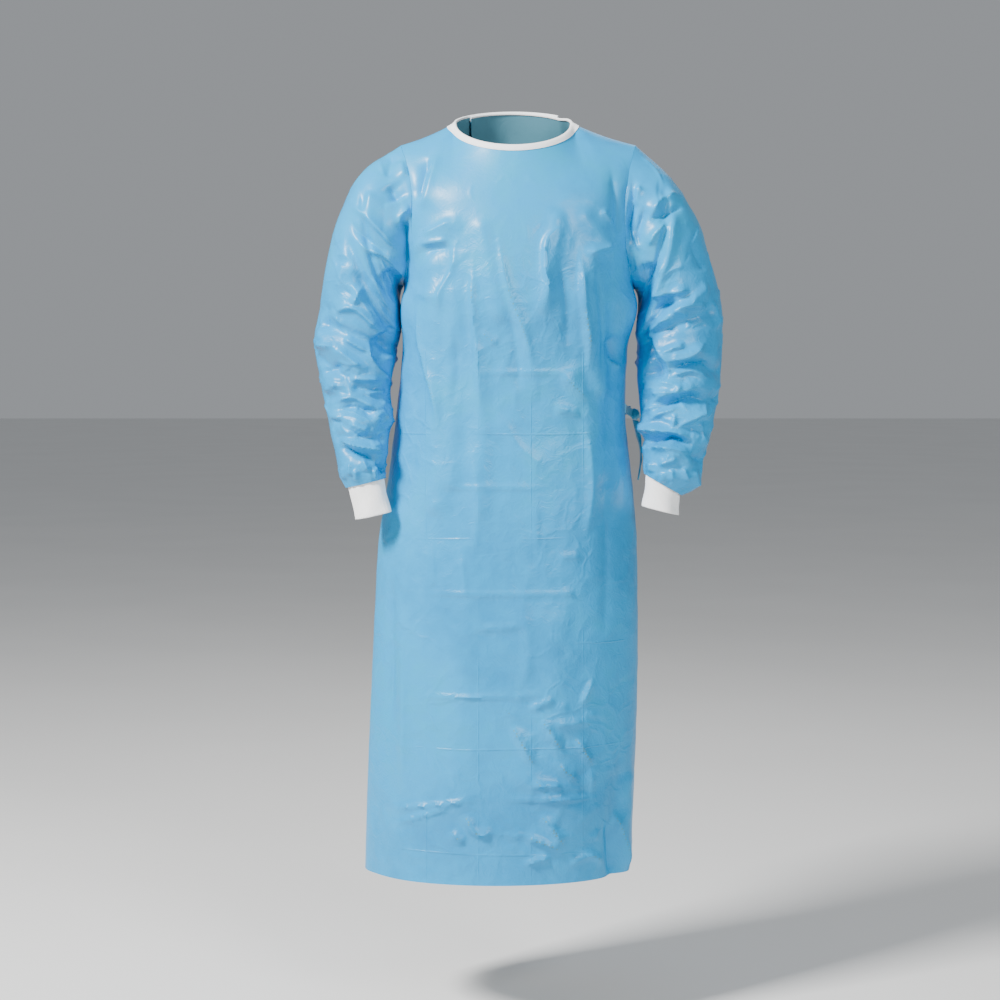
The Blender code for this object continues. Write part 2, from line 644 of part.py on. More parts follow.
def neck_binding(panels):
    """Tape folded over the neck edge, in one length that laps behind."""
    edge, normal, under = neck_run(panels)
    count = len(edge)
    halves = np.linspace(0, count - 1, (count - 1) * 3 + 1)
    path = np.stack([np.interp(halves, np.arange(count), edge[:, k]) for k in range(3)], axis=1)
    along = np.gradient(edge, axis=0)
    along /= np.linalg.norm(along, axis=1, keepdims=True)
    for _ in range(2):
        normal[1:-1] = (normal[:-2] + 2 * normal[1:-1] + normal[2:]) / 4
    normal = normal - along * (normal * along).sum(axis=1, keepdims=True)
    normal /= np.linalg.norm(normal, axis=1, keepdims=True)
    down = np.cross(normal, along)
    normal = np.stack([np.interp(halves, np.arange(count), normal[:, k]) for k in range(3)], axis=1)
    down = np.stack([np.interp(halves, np.arange(count), down[:, k]) for k in range(3)], axis=1)
    seams = [i for i in range(1, count) if under[i] is not under[i - 1]]
    sections = []
    for place, n, d, at in zip(path, normal, down, halves):
        n, d = n / np.linalg.norm(n), d / np.linalg.norm(d)
        from_seam = min(abs(at - seams[0] + 1), abs(at - seams[1]))
        near = BINDING_GAP + SEAM_RELIEF * math.exp(-((from_seam / 1.6) ** 2))
        far = near + BINDING_CLOTH
        tree = under[int(at)]
        low = on_cloth(tree, place + d * BINDING_WIDTH, n)
        middle = on_cloth(tree, place + d * BINDING_WIDTH / 2, n)
        inside = on_cloth(tree, place + d * BINDING_INSIDE, n)
        sections.append(
            (
                low + n * near,
                low + n * far,
                middle + n * far,
                place - d * far + n * far,
                place - d * far - n * (CLOTH + far),
                inside - n * (CLOTH + far),
                inside - n * (CLOTH + near),
                place - d * near - n * (CLOTH + near),
                place - d * near + n * near,
                middle + n * near,
            )
        )
    return lofted("neck_binding", sections, WHITE)


def lofted(name, sections, finish):
    """A solid through sections that each have the same number of points."""
    count = len(sections[0])
    vertices = [point for section in sections for point in section]
    faces = []
    for i in range(len(sections) - 1):
        for j in range(count):
            k = (j + 1) % count
            start, end = i * count, (i + 1) * count
            # The two sides of a thin section are split along the same diagonal
            if j < count // 2:
                faces += [[start + j, start + k, end + k], [start + j, end + k, end + j]]
            else:
                faces += [[start + k, end + k, end + j], [start + j, start + k, end + j]]
    last = (len(sections) - 1) * count
    faces.append(list(range(count)))
    faces.append([last + j for j in range(count)])
    return make_object(name, vertices, faces, finish)


def swept(name, path, across, outward, width, cloth, finish):
    """A flat strip along a path, as wide as given and lying on its back at the path."""
    sections = [
        (p - a * width / 2, p + a * width / 2, p + a * width / 2 + o * cloth, p - a * width / 2 + o * cloth)
        for p, a, o in zip(path, across, outward)
    ]
    return lofted(name, sections, finish)


def cuff(name, edge, sleeve):
    """Rib-knit tube tucked a little way into the end of a sleeve."""
    end = sleeve.points[-1] - sleeve.normals[-1] * (CLOTH + CUFF_CLEARANCE)
    above = sleeve.points[-2] - sleeve.normals[-2] * (CLOTH + CUFF_CLEARANCE)
    up = above - end
    tucked = end + up / np.linalg.norm(up, axis=1, keepdims=True) * CUFF_TUCK
    last = ring(edge, armhole_angles())
    steps = np.linspace(0, 1, CUFF_ROWS)
    points = np.stack([tucked] + [end + (last - end) * t for t in steps])
    normals = closed_normals(points, points.mean(axis=1, keepdims=True))
    return Panel(name, points, normals, tube=True, cloth=RIB_KNIT, finish=WHITE)


def taut(points):
    """The points of a run that a strap pulled tight over all of them would touch."""
    kept = []
    for point in points:
        while len(kept) > 1:
            first, second = kept[-1] - kept[-2], point - kept[-1]
            if first[0] * second[1] - first[1] * second[0] < 0:
                break
            kept.pop()
        kept.append(point)
    return np.array(kept)


def beside_body(tree, y, z):
    """How far out the side of the body reaches over a tie's width."""
    heights = np.linspace(z - TIE_WIDTH / 2, z + TIE_WIDTH / 2, 5)
    return max(tree.ray_cast(Vector((0.3, y, h)), Vector((-1, 0, 0)))[0][0] for h in heights)


def waist_strap(panels, knot_tree):
    """The long tie where it goes round behind, pulled tight over the cloth to the knot."""
    tree = cloth_tree(panels)
    touched = []
    for angle in np.radians(np.linspace(STRAP_START_DEG, STRAP_END_DEG, 160)):
        way = np.array([math.cos(angle), math.sin(angle), 0.0])
        reach = 0.0
        for z in np.linspace(TIE_Z - TIE_WIDTH / 2, TIE_Z + TIE_WIDTH / 2, 9):
            far_out = np.array([0.0, 0.0, z]) + way * 0.3
            hit = tree.ray_cast(Vector(far_out), Vector(-way), 0.3)[0]
            reach = max(reach, math.hypot(hit[0], hit[1]))
        touched.append(way[:2] * (reach + TIE_GAP))
    corners = taut(touched + [np.array(KNOT[:2])])
    # It stops where it comes to the knot
    pull = (corners[-1] - corners[-2]) / np.linalg.norm(corners[-1] - corners[-2])
    side = np.array([-pull[1], pull[0]])
    corners[-1] -= pull * 2 * max(KNOT_SIZE)
    while min(gap_to(knot_tree, corners[-1] + side * s, TIE_Z) for s in (0, TIE_CLOTH)) > TIE_GAP:
        corners[-1] += pull * 0.0001
    run = np.concatenate([[0], np.cumsum(np.linalg.norm(np.diff(corners, axis=0), axis=1))])
    even = np.unique(np.concatenate([np.linspace(0, run[-1], TIE_STEPS), run]).round(5))
    path = np.stack([np.interp(even, run, corners[:, k]) for k in range(2)], axis=1)
    along = np.gradient(path, axis=0)
    outward = np.stack([-along[:, 1], along[:, 0], np.zeros(len(along))], axis=1)
    outward /= np.linalg.norm(outward, axis=1, keepdims=True)
    outward *= np.sign((outward[:, :2] * path).sum(axis=1))[:, None]
    path = np.column_stack([path, np.full(len(path), TIE_Z)])
    up = np.tile([0.0, 0.0, 1.0], (len(path), 1))
    swept("tie_long", path, up, outward, TIE_WIDTH, TIE_CLOTH, BLUE)


def gap_to(tree, place, z):
    """Distance from a place in plan, over a tie's width at a height, to a solid."""
    heights = np.linspace(z - TIE_WIDTH / 2, z + TIE_WIDTH / 2, 9)
    return min(tree.find_nearest(Vector((place[0], place[1], h)))[3] for h in heights)


def strip_frame(table, upright):
    """Path, way across and way out of a free strip, its flat side leaning as it says."""
    knots = np.concatenate([[0], np.cumsum(np.linalg.norm(np.diff(table[:, :3], axis=0), axis=1))])
    smooth = hermite(knots, table, np.linspace(0, knots[-1], TIE_STEPS))
    path = smooth[:, :3]
    along = np.gradient(path, axis=0)
    along /= np.linalg.norm(along, axis=1, keepdims=True)
    lean = np.radians(smooth[:, 3])
    across = np.stack([np.sin(lean), -np.cos(lean), 0.3 * np.ones_like(lean)], axis=1)
    if upright:
        across = np.tile([0.0, 0.0, 1.0], (len(lean), 1))
    across -= along * (across * along).sum(axis=1, keepdims=True)
    across /= np.linalg.norm(across, axis=1, keepdims=True)
    return path, across, np.cross(along, across)


def free_strip(name, rows, knot_tree, moved, cloth=None):
    """A free strip, its rows moved by the shares given until it is seated on the knot."""
    rows = [list(row) for row in rows]
    for row in rows:
        if row[0] is None:
            row[0] = beside_body(cloth, row[1], row[2]) + TIE_GAP
    table = np.array(rows, float)
    end = table[int(np.argmax(moved)), :3]
    way = (end - np.array(KNOT)) / np.linalg.norm(end - np.array(KNOT))
    for _ in range(12):
        path, across, out = strip_frame(table, cloth is not None)
        widths = np.linspace(-TIE_WIDTH / 2, TIE_WIDTH / 2, 9)
        gap = min(
            knot_tree.find_nearest(Vector(p + a * w + o * t))[3]
            for p, a, o in zip(path, across, out)
            for w in widths
            for t in (0, TIE_CLOTH)
        )
        table[:, :3] -= np.outer(moved, way) * (gap - TIE_GAP)
    path, across, out = strip_frame(table, cloth is not None)
    swept(name, path, across, out, TIE_WIDTH, TIE_CLOTH, BLUE)


def ties(panels):
    """The knot, and the ties that meet in it."""
    made = knot()
    vertices = [vertex.co for vertex in made.data.vertices]
    tree = BVHTree.FromPolygons(vertices, [list(face.vertices) for face in made.data.polygons])
    waist_strap([panels["back_outer"], panels["back_inner"]], tree)
    side = cloth_tree([panels["front"], panels["back_inner"]])
    free_strip("tie_short", SHORT_TIE, tree, (0.0, 0.0, 0.4, 1.0), side)
    free_strip("tie_long_end", LONG_END, tree, (1.0, 1.0, 1.0, 1.0, 1.0))
    free_strip("tie_short_end", SHORT_END, tree, (1.0, 1.0, 1.0, 1.0, 1.0))


def knot():
    """The knot that joins the ties: a small flattened lump."""
    bpy.ops.mesh.primitive_uv_sphere_add(segments=14, ring_count=8, radius=1, location=KNOT)
    made = bpy.context.object
    made.scale = KNOT_SIZE
    bpy.ops.object.transform_apply(location=True, rotation=False, scale=True)
    vertices = [tuple(vertex.co) for vertex in made.data.vertices]
    faces = [list(face.vertices) for face in made.data.polygons]
    bpy.data.objects.remove(made)
    return make_object("tie_knot", vertices, faces, BLUE)


def main():
    for left_over in list(bpy.data.objects):
        bpy.data.objects.remove(left_over)
    panels = cloth_panels()
    named = {panel.name: panel for panel in panels}
    for panel in panels:
        panel.part_at_seams()
    for name in ("front", "back_outer", "back_inner"):
        part_shoulder_seam(named[name])
    for panel in panels:
        panel.build()
    neck_binding(named)
    ties(named)
    cuff("cuff_right", RIGHT_CUFF_EDGE, named["sleeve_right"]).build()
    cuff("cuff_left", LEFT_CUFF_EDGE, named["sleeve_left"]).build()


main()
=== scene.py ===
"""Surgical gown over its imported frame: creased film-coated cloth, knit cuffs, neck tape and ties.

Metres, +Z up, the front faces -Y, left and right are the wearer's. The cloth is worked out
from the same sections as the solids, on a far finer grid, and then creased.
"""

import logging
import math
from dataclasses import dataclass
from enum import Enum
from typing import Optional, Sequence

import bpy
import numpy as np
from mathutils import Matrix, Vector
from mathutils.bvhtree import BVHTree


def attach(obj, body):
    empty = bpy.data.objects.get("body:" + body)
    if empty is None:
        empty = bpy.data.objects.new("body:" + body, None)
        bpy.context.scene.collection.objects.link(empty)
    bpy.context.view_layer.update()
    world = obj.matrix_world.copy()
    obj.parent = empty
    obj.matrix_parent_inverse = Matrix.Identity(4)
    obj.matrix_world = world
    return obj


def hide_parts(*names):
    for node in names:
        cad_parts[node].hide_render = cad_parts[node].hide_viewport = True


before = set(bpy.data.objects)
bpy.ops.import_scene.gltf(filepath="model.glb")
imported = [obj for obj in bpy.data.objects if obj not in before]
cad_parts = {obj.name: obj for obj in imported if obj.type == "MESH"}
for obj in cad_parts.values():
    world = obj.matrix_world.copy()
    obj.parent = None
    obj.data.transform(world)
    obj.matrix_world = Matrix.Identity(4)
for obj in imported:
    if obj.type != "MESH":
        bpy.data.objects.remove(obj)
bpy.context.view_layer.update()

logging.basicConfig(level=logging.INFO, format="%(message)s")
LOG = logging.getLogger("gown")

Array = np.ndarray
Place = tuple[float, float]
Triple = tuple[float, float, float]
Piece = tuple[Array, Array, bool]
Material = bpy.types.Material
Node = bpy.types.Node
Socket = bpy.types.NodeSocket


class Facing(Enum):
    """Which way a body panel faces along Y."""

    FRONT = -1
    BACK = 1


@dataclass(frozen=True)
class LevelRow:
    """A level section of the body below the armholes."""

    z: float
    centre_x: float
    half_width: float
    front_y: float
    back_y: float


@dataclass(frozen=True)
class ChestRow:
    """A row of the body that ends at both armholes."""

    edge_z: float
    front_z: float
    back_z: float
    half_width: float
    edge_y: float
    front_y: float
    back_y: float
    wrap_deg: float


@dataclass(frozen=True)
class SleeveRow:
    """A ring of a sleeve: its outer and inner ends seen from the front, and its depth."""

    outer_x: float
    outer_z: float
    inner_x: float
    inner_z: float
    centre_y: float
    half_depth: float


@dataclass(frozen=True)
class SoftFold:
    """A wide soft ridge, or a trough where the height is below 0."""

    across0: float
    down0: float
    across1: float
    down1: float
    width: float
    height: float


@dataclass(frozen=True)
class Crease:
    """A sharp fold along a line seen from the front or back.

    The width and height are millimetres. A lean above 0 makes its left flank the longer.
    """

    width: float
    height: float
    lean: float
    points: tuple[Place, ...]


def crease(width: float, height: float, lean: float, *places: float) -> Crease:
    """A crease, each of its points two millimetre values in the row of places."""
    values = [place / 1000 for place in places]
    return Crease(width, height, lean, tuple(zip(values[::2], values[1::2])))


LEVEL_ROWS = (
    LevelRow(-1.185, -0.025, 0.211, -0.165, 0.152),
    LevelRow(-1.060, -0.019, 0.213, -0.161, 0.150),
    LevelRow(-0.900, -0.013, 0.2125, -0.154, 0.146),
    LevelRow(-0.760, -0.010, 0.2095, -0.148, 0.142),
    LevelRow(-0.650, -0.008, 0.205, -0.142, 0.137),
    LevelRow(-0.560, -0.005, 0.194, -0.136, 0.128),
    LevelRow(-0.465, -0.004, 0.183, -0.130, 0.114),
    LevelRow(-0.360, 0.003, 0.179, -0.131, 0.122),
    LevelRow(-0.265, 0.009, 0.183, -0.135, 0.128),
)
CHEST_ROWS = (
    ChestRow(-0.248, -0.244, -0.240, 0.1775, 0.030, -0.134, 0.129, 79),
    ChestRow(-0.222, -0.216, -0.209, 0.172, 0.049, -0.131, 0.130, 72),
    ChestRow(-0.158, -0.162, -0.135, 0.167, 0.066, -0.122, 0.127, 64),
    ChestRow(-0.092, -0.108, -0.062, 0.171, 0.054, -0.106, 0.110, 60),
)
RIGHT_SLEEVE_ROWS = (
    SleeveRow(-0.238, -0.076, -0.1780, -0.273, 0.003, 0.076),
    SleeveRow(-0.278, -0.150, -0.1785, -0.294, 0.002, 0.076),
    SleeveRow(-0.295, -0.214, -0.1785, -0.321, 0.001, 0.073),
    SleeveRow(-0.306, -0.279, -0.1795, -0.344, 0.000, 0.070),
    SleeveRow(-0.316, -0.343, -0.185, -0.370, -0.006, 0.065),
    SleeveRow(-0.306, -0.404, -0.195, -0.414, -0.020, 0.059),
    SleeveRow(-0.294, -0.458, -0.192, -0.460, -0.038, 0.053),
    SleeveRow(-0.282, -0.512, -0.197, -0.504, -0.056, 0.046),
    SleeveRow(-0.268, -0.560, -0.199, -0.545, -0.070, 0.036),
    SleeveRow(-0.261, -0.573, -0.2005, -0.558, -0.074, 0.0290),
)
LEFT_SLEEVE_ROWS = (
    SleeveRow(0.254, -0.092, 0.1975, -0.273, 0.003, 0.076),
    SleeveRow(0.291, -0.153, 0.1980, -0.293, 0.002, 0.076),
    SleeveRow(0.313, -0.216, 0.1965, -0.319, 0.001, 0.073),
    SleeveRow(0.329, -0.279, 0.1950, -0.339, 0.000, 0.070),
    SleeveRow(0.332, -0.343, 0.1965, -0.364, -0.004, 0.067),
    SleeveRow(0.329, -0.406, 0.197, -0.402, -0.014, 0.062),
    SleeveRow(0.317, -0.468, 0.201, -0.452, -0.028, 0.057),
    SleeveRow(0.302, -0.524, 0.203, -0.500, -0.042, 0.052),
    SleeveRow(0.284, -0.577, 0.206, -0.540, -0.052, 0.042),
    SleeveRow(0.264, -0.586, 0.207, -0.553, -0.056, 0.0295),
)
RIGHT_CUFF_EDGE = SleeveRow(-0.2465, -0.6220, -0.1900, -0.6095, -0.086, 0.0250)
LEFT_CUFF_EDGE = SleeveRow(0.2600, -0.6170, 0.2010, -0.6020, -0.063, 0.0255)

FRONT_SOFT = (
    SoftFold(-0.125, -0.23, -0.118, -0.60, 0.017, 0.0070),
    SoftFold(-0.092, -0.27, -0.096, -0.56, 0.014, 0.0055),
    SoftFold(-0.050, -0.17, -0.024, -0.30, 0.013, 0.0035),
    SoftFold(-0.052, -0.36, -0.048, -0.60, 0.015, 0.0040),
    SoftFold(0.066, -0.16, 0.048, -0.29, 0.013, 0.0045),
    SoftFold(0.122, -0.21, 0.138, -0.42, 0.016, 0.0075),
    SoftFold(0.092, -0.40, 0.122, -0.47, 0.016, 0.0040),
    SoftFold(0.158, -0.30, 0.150, -0.56, 0.016, -0.0060),
    SoftFold(-0.155, -0.20, -0.095, -0.165, 0.014, 0.0045),
    SoftFold(0.150, -0.20, 0.110, -0.155, 0.014, 0.0040),
    SoftFold(-0.075, -0.70, -0.085, -1.05, 0.030, 0.0040),
    SoftFold(0.060, -0.78, 0.075, -1.10, 0.030, 0.0040),
    SoftFold(0.020, -1.02, 0.105, -1.08, 0.018, 0.0045),
    SoftFold(0.165, -1.03, 0.158, -1.19, 0.012, -0.0055),
    SoftFold(0.182, -1.04, 0.176, -1.19, 0.010, 0.0045),
    SoftFold(-0.222, -0.62, -0.232, -1.19, 0.010, 0.0040),
)
BACK_SOFT = (
    SoftFold(-0.120, -0.30, -0.100, -0.62, 0.017, 0.0070),
    SoftFold(-0.062, -0.38, -0.060, -0.70, 0.016, 0.0080),
    SoftFold(-0.012, -0.34, -0.020, -0.66, 0.015, 0.0065),
    SoftFold(0.040, -0.40, 0.034, -0.74, 0.016, 0.0070),
    SoftFold(0.135, -0.33, 0.128, -0.60, 0.015, 0.0060),
    SoftFold(-0.150, -0.62, -0.160, -1.19, 0.026, 0.0070),
    SoftFold(-0.070, -0.80, -0.078, -1.19, 0.028, 0.0070),
    SoftFold(0.008, -0.74, 0.006, -1.19, 0.026, 0.0065),
    SoftFold(0.140, -0.66, 0.150, -1.19, 0.026, 0.0060),
    SoftFold(-0.135, -0.14, -0.060, -0.20, 0.018, 0.0040),
    SoftFold(0.140, -0.14, 0.085, -0.21, 0.018, 0.0040),
)
RIGHT_SLEEVE_SOFT = (
    SoftFold(0.060, 0.080, 0.140, 0.150, 0.010, -0.0060),
    SoftFold(0.070, 0.150, 0.150, 0.190, 0.011, -0.0055),
    SoftFold(0.100, 0.180, 0.160, 0.235, 0.014, -0.0095),
    SoftFold(0.045, 0.285, 0.150, 0.290, 0.011, -0.0070),
    SoftFold(0.040, 0.305, 0.115, 0.345, 0.012, 0.0060),
    SoftFold(0.010, 0.330, 0.110, 0.375, 0.011, -0.0050),
    SoftFold(0.035, 0.405, 0.150, 0.400, 0.011, -0.0055),
    SoftFold(0.040, 0.440, 0.140, 0.445, 0.010, 0.0050),
    SoftFold(0.045, 0.475, 0.160, 0.480, 0.010, -0.0060),
    SoftFold(0.250, 0.110, 0.330, 0.170, 0.014, -0.0055),
    SoftFold(0.240, 0.260, 0.350, 0.240, 0.013, -0.0065),
    SoftFold(0.230, 0.320, 0.360, 0.335, 0.012, 0.0055),
    SoftFold(0.240, 0.410, 0.345, 0.395, 0.012, -0.0055),
    SoftFold(0.230, 0.470, 0.340, 0.480, 0.011, -0.0050),
)
LEFT_SLEEVE_SOFT = (
    SoftFold(0.055, 0.065, 0.150, 0.110, 0.010, -0.0065),
    SoftFold(0.080, 0.100, 0.135, 0.150, 0.014, 0.0065),
    SoftFold(0.120, 0.190, 0.165, 0.240, 0.014, -0.0090),
    SoftFold(0.060, 0.225, 0.150, 0.235, 0.011, 0.0060),
    SoftFold(0.055, 0.255, 0.150, 0.260, 0.011, -0.0055),
    SoftFold(0.080, 0.320, 0.150, 0.320, 0.012, 0.0055),
    SoftFold(0.020, 0.350, 0.160, 0.355, 0.012, -0.0070),
    SoftFold(0.040, 0.395, 0.165, 0.405, 0.013, -0.0055),
    SoftFold(0.055, 0.450, 0.170, 0.440, 0.011, -0.0065),
    SoftFold(0.070, 0.500, 0.140, 0.490, 0.011, 0.0055),
    SoftFold(0.250, 0.110, 0.330, 0.160, 0.014, -0.0055),
    SoftFold(0.240, 0.260, 0.350, 0.250, 0.013, -0.0065),
    SoftFold(0.235, 0.330, 0.355, 0.345, 0.012, 0.0055),
    SoftFold(0.240, 0.430, 0.345, 0.420, 0.012, -0.0060),
)

# Creases of the front in millimetres, from the neck down, then the straight ones that packing left
FRONT_CREASES = (
    crease(5, 3, 0, -143, -194, -99, -189),
    crease(6, 2.5, 0, -140, -181, -92, -159),
    crease(5, -2.5, 0, -139, -205, -95, -200),
    crease(4, 2.2, 0, -160, -268, -118, -278),
    crease(6, 3.6, 0.4, -150, -281, -145, -340, -133, -386, -119, -434, -112, -497),
    crease(5, 3.4, 0.4, -92, -199, -92, -229, -112, -274, -114, -306),
    crease(5, 3.4, 0.4, -62, -211, -64, -269, -56, -363, -52, -457),
    crease(6, 3, 0.3, -24, -181, -10, -260, 19, -340, 33, -406),
    crease(5, 4, 0.5, 68, -173, 54, -182, 47, -230, 51, -269, 42, -295),
    crease(6, 5, 0.6, 101, -203, 105, -269, 115, -363, 115, -394),
    crease(8, -3.6, 0, 124, -223, 131, -281, 137, -358, 134, -405),
    crease(4, 2, 0, -52, -328, -24, -351),
    crease(5, 3, 0, 108, -211, 156, -197),
    crease(4, 2.6, 0, 135, -141, 156, -162),
    crease(6, 3, 0.3, 70, -394, 115, -437),
    crease(5, 2.6, 0, 61, -447, 104, -456),
    crease(9, -6, 0, 153, -335, 168, -382),
    crease(4, 3.2, 0, 147, -369, 173, -390),
    crease(8, -6, 0, -132, -54, -145, -96, -153, -131),
    crease(8, 3.4, 0, -118, -51, -132, -104, -143, -145),
    crease(9, -3, 0, 152, -73, 162, -133, 161, -188),
    crease(7, -2.2, 0, -90, -327, -86, -392, -95, -451),
    crease(7, -2, 0, -9, -282, 4, -358, 10, -429),
    crease(7, -2.4, 0, 71, -223, 81, -281, 84, -361),
    crease(7, 1.8, 0.2, -26, -453, 10, -509, 53, -543),
    crease(9, 1.8, 0, -67, -497, -55, -590, -61, -683),
    crease(10, 1.6, 0, 10, -729, 22, -807, 16, -885),
    crease(8, 2.4, 0.3, 111, -466, 122, -560, 113, -653),
    crease(7, -2.6, 0, -194, -695, -191, -822, -195, -954),
    crease(8, 2.2, 0, -176, -752, -171, -911, -173, -1055),
    crease(8, -2.2, 0, 141, -560, 145, -686, 142, -811),
    crease(3, 1.8, 0, 70, -677, 106, -678),
    crease(3, 1.6, 0, 75, -728, 94, -737),
    crease(4, 1.8, 0, -64, -789, 19, -782),
    crease(4, 2.4, 0.3, 123, -867, 104, -909),
    crease(4, 2.2, 0, 63, -895, 24, -911),
    crease(4, 2.8, 0.4, 43, -927, 71, -975),
    crease(5, 2.8, 0.4, -4, -935, 32, -1001),
    crease(4, 2.2, 0, 60, -936, 112, -934),
    crease(4, 2.6, 0.4, 94, -958, 123, -1004),
    crease(4, 2.4, 0, 68, -1000, 99, -1026),
    crease(4, 2.4, 0, 27, -1028, 76, -1032),
    crease(5, 3, 0.4, 40, -1072, 79, -1129),
    crease(5, 2.8, 0.4, 15, -1108, 76, -1133),
    crease(4, 2.4, 0, 15, -1152, 60, -1141),
    crease(5, 3, 0.3, -76, -1073, -55, -1104, -29, -1103),
    crease(5, 2.4, 0, -96, -1105, -74, -1119),
    crease(5, 3.6, 0.4, 159, -1077, 171, -1131, 178, -1188),
    crease(6, -2.6, 0, 146, -1089, 156, -1147, 161, -1196),
    crease(4, 2, 0, 82, -1158, 120, -1145, 146, -1164),
    crease(2.2, 1.3, 0, -60, -392, 115, -395),
    crease(2.2, 1.3, 0, -114, -570, 56, -569),
    crease(2.2, 1.6, 0, -153, -734, 119, -735),
    crease(2.2, 1.6, 0, -161, -896, 63, -889),
    crease(2.4, 1.9, 0, -190, -1074, -52, -1050),
    crease(2.2, 1.4, 0, -26, -1050, 131, -1054),
    crease(3, 1.8, 0, -184, -1098, -96, -1063),
    crease(2.2, 1.3, 0, -127, -643, -124, -727),
    crease(2.4, 1.4, 0, -81, -661, -72, -748),
    crease(2.2, 1.2, 0, 35, -589, 35, -668),
)
# Creases of both backs, which don't show in the photograph
BACK_CREASES = (
    crease(6, 3.5, 0.4, -150, -205, -122, -178, -95, -168),
    crease(6, 3.2, 0.3, 152, -212, 124, -190, 98, -180),
    crease(5, 2.6, 0, -142, -252, -110, -262, -78, -270),
    crease(5, 2.4, 0, 140, -258, 105, -270),
    crease(6, 4, 0.5, -132, -330, -121, -400, -126, -452),
    crease(6, 4.2, 0.5, -86, -350, -74, -410, -78, -450),
    crease(6, 4, 0.4, -31, -300, -22, -380, -30, -449),
    crease(6, 3.6, 0.4, 20, -340, 30, -400, 28, -449),
    crease(6, 4, 0.5, 76, -320, 81, -390, 70, -448),
    crease(5, 3.4, 0.3, 131, -360, 122, -420, 127, -445),
    crease(6, 5, 0.5, -124, -470, -130, -560, -141, -680),
    crease(6, 5, 0.4, -71, -470, -74, -550, -69, -640),
    crease(7, 4.5, 0.4, -21, -470, -24, -570, -19, -700),
    crease(6, 4.6, 0.5, 31, -470, 36, -560, 30, -660),
    crease(6, 4.6, 0.5, 80, -470, 85, -550, 92, -660),
    crease(6, 4, 0.3, 131, -470, 136, -550, 143, -630),
    crease(8, 3, 0.3, -181, -620, -186, -780, -184, -960),
    crease(8, 3.2, 0.3, 171, -640, 178, -800, 176, -990),
    crease(7, 3, 0.3, -105, -760, -112, -900, -108, -1020),
    crease(7, 2.8, 0.3, -40, -840, -35, -960, -44, -1090),
    crease(7, 3, 0.3, 50, -780, 57, -900, 49, -1050),
    crease(7, -3, 0, -148, -700, -151, -900, -149, -1100),
    crease(7, -2.8, 0, 78, -820, 84, -980, 80, -1130),
    crease(4, 2.6, 0.4, -162, -1020, -130, -1062, -121, -1100),
    crease(4, 2.4, 0.3, -80, -1060, -52, -1092),
    crease(4, 2.6, 0.3, 92, -1030, 124, -1071, 131, -1102),
    crease(4, 2.2, 0, 20, -1110, 62, -1092),
    crease(4, 2.2, 0, -20, -900, 26, -921),
    crease(4, 2.2, 0, -120, -820, -82, -851),
    crease(2.2, 1.4, 0, -150, -393, 150, -394),
    crease(2.2, 1.4, 0, -170, -570, 168, -569),
    crease(2.2, 1.6, 0, -185, -734, 176, -735),
    crease(2.2, 1.6, 0, -190, -895, 175, -891),
    crease(2.4, 1.6, 0, -192, -1052, 170, -1050),
    crease(2.2, 1.3, 0, -84, -480, -80, -1160),
    crease(2.2, 1.3, 0, 86, -500, 88, -1150),
)
RIGHT_SLEEVE_CREASES = (
    crease(5, 4, 0, -158, -135, -176, -151, -176, -168),
    crease(7, -8, 0, -176, -146, -166, -184, -165, -210, -162, -236),
    crease(10, -6, 0, -194, -97, -179, -128),
    crease(8, 4, 0, -171, -59, -168, -90),
    crease(8, -3, 0, -190, -47, -199, -90),
    crease(6, 5, 0.5, -248, -137, -199, -182, -181, -202),
    crease(7, -4, 0, -256, -159, -212, -199, -187, -221),
    crease(6, 5, 0.4, -246, -184, -232, -199, -195, -215, -167, -252),
    crease(12, -9, 0, -206, -236, -181, -261, -178, -290),
    crease(5, 5.5, -0.5, -223, -243, -197, -277, -187, -299, -173, -324),
    crease(5, 4.5, 0.3, -250, -291, -236, -258),
    crease(6, 5, 0.4, -289, -305, -251, -294, -219, -319, -200, -333),
    crease(11, -9, 0, -209, -330, -187, -368),
    crease(5, 5.5, -0.5, -223, -341, -227, -360, -195, -412),
    crease(4, 3.4, 0, -275, -355, -237, -388),
    crease(4, 3, 0, -311, -351, -278, -354),
    crease(5, 4, 0.3, -267, -338, -228, -362),
    crease(6, 5, 0.4, -259, -404, -209, -404),
    crease(6, -4, 0, -256, -418, -206, -419),
    crease(4, 3, 0, -231, -427, -201, -422),
    crease(6, 5, 0.5, -283, -440, -254, -432, -209, -454),
    crease(6, -5, 0, -278, -452, -246, -447, -209, -469),
    crease(5, -3.6, 0, -285, -468, -264, -471),
    crease(5, 4, 0, -256, -472, -224, -485),
    crease(5, 4, 0, -228, -466, -204, -457, -193, -483),
    crease(5, 6.5, 0.4, -277, -496, -238, -508, -215, -514, -199, -521),
    crease(5, -6, 0, -274, -508, -238, -521, -209, -531),
    crease(4, 2.6, 0, -224, -505, -207, -505),
    crease(6, -6, 0, -215, -531, -199, -547, -197, -564),
    crease(4, 4, 0, -235, -525, -226, -547),
    crease(4, 3.2, 0, -254, -530, -252, -555),
    crease(3.4, 2.6, 0, -244, -542, -244, -564),
    crease(3.4, 2.6, 0, -218, -542, -215, -561),
    crease(4, 2.8, 0, -268, -539, -261, -561),
    crease(9, 3, 0.2, -264, -218, -273, -268),
    crease(8, -3, 0, -294, -280, -300, -330),
    crease(9, 3, 0, -221, -109, -237, -156),
    crease(6, -3.4, 0, -303, -393, -266, -383),
    crease(5, 3, 0, -300, -424, -272, -412),
)
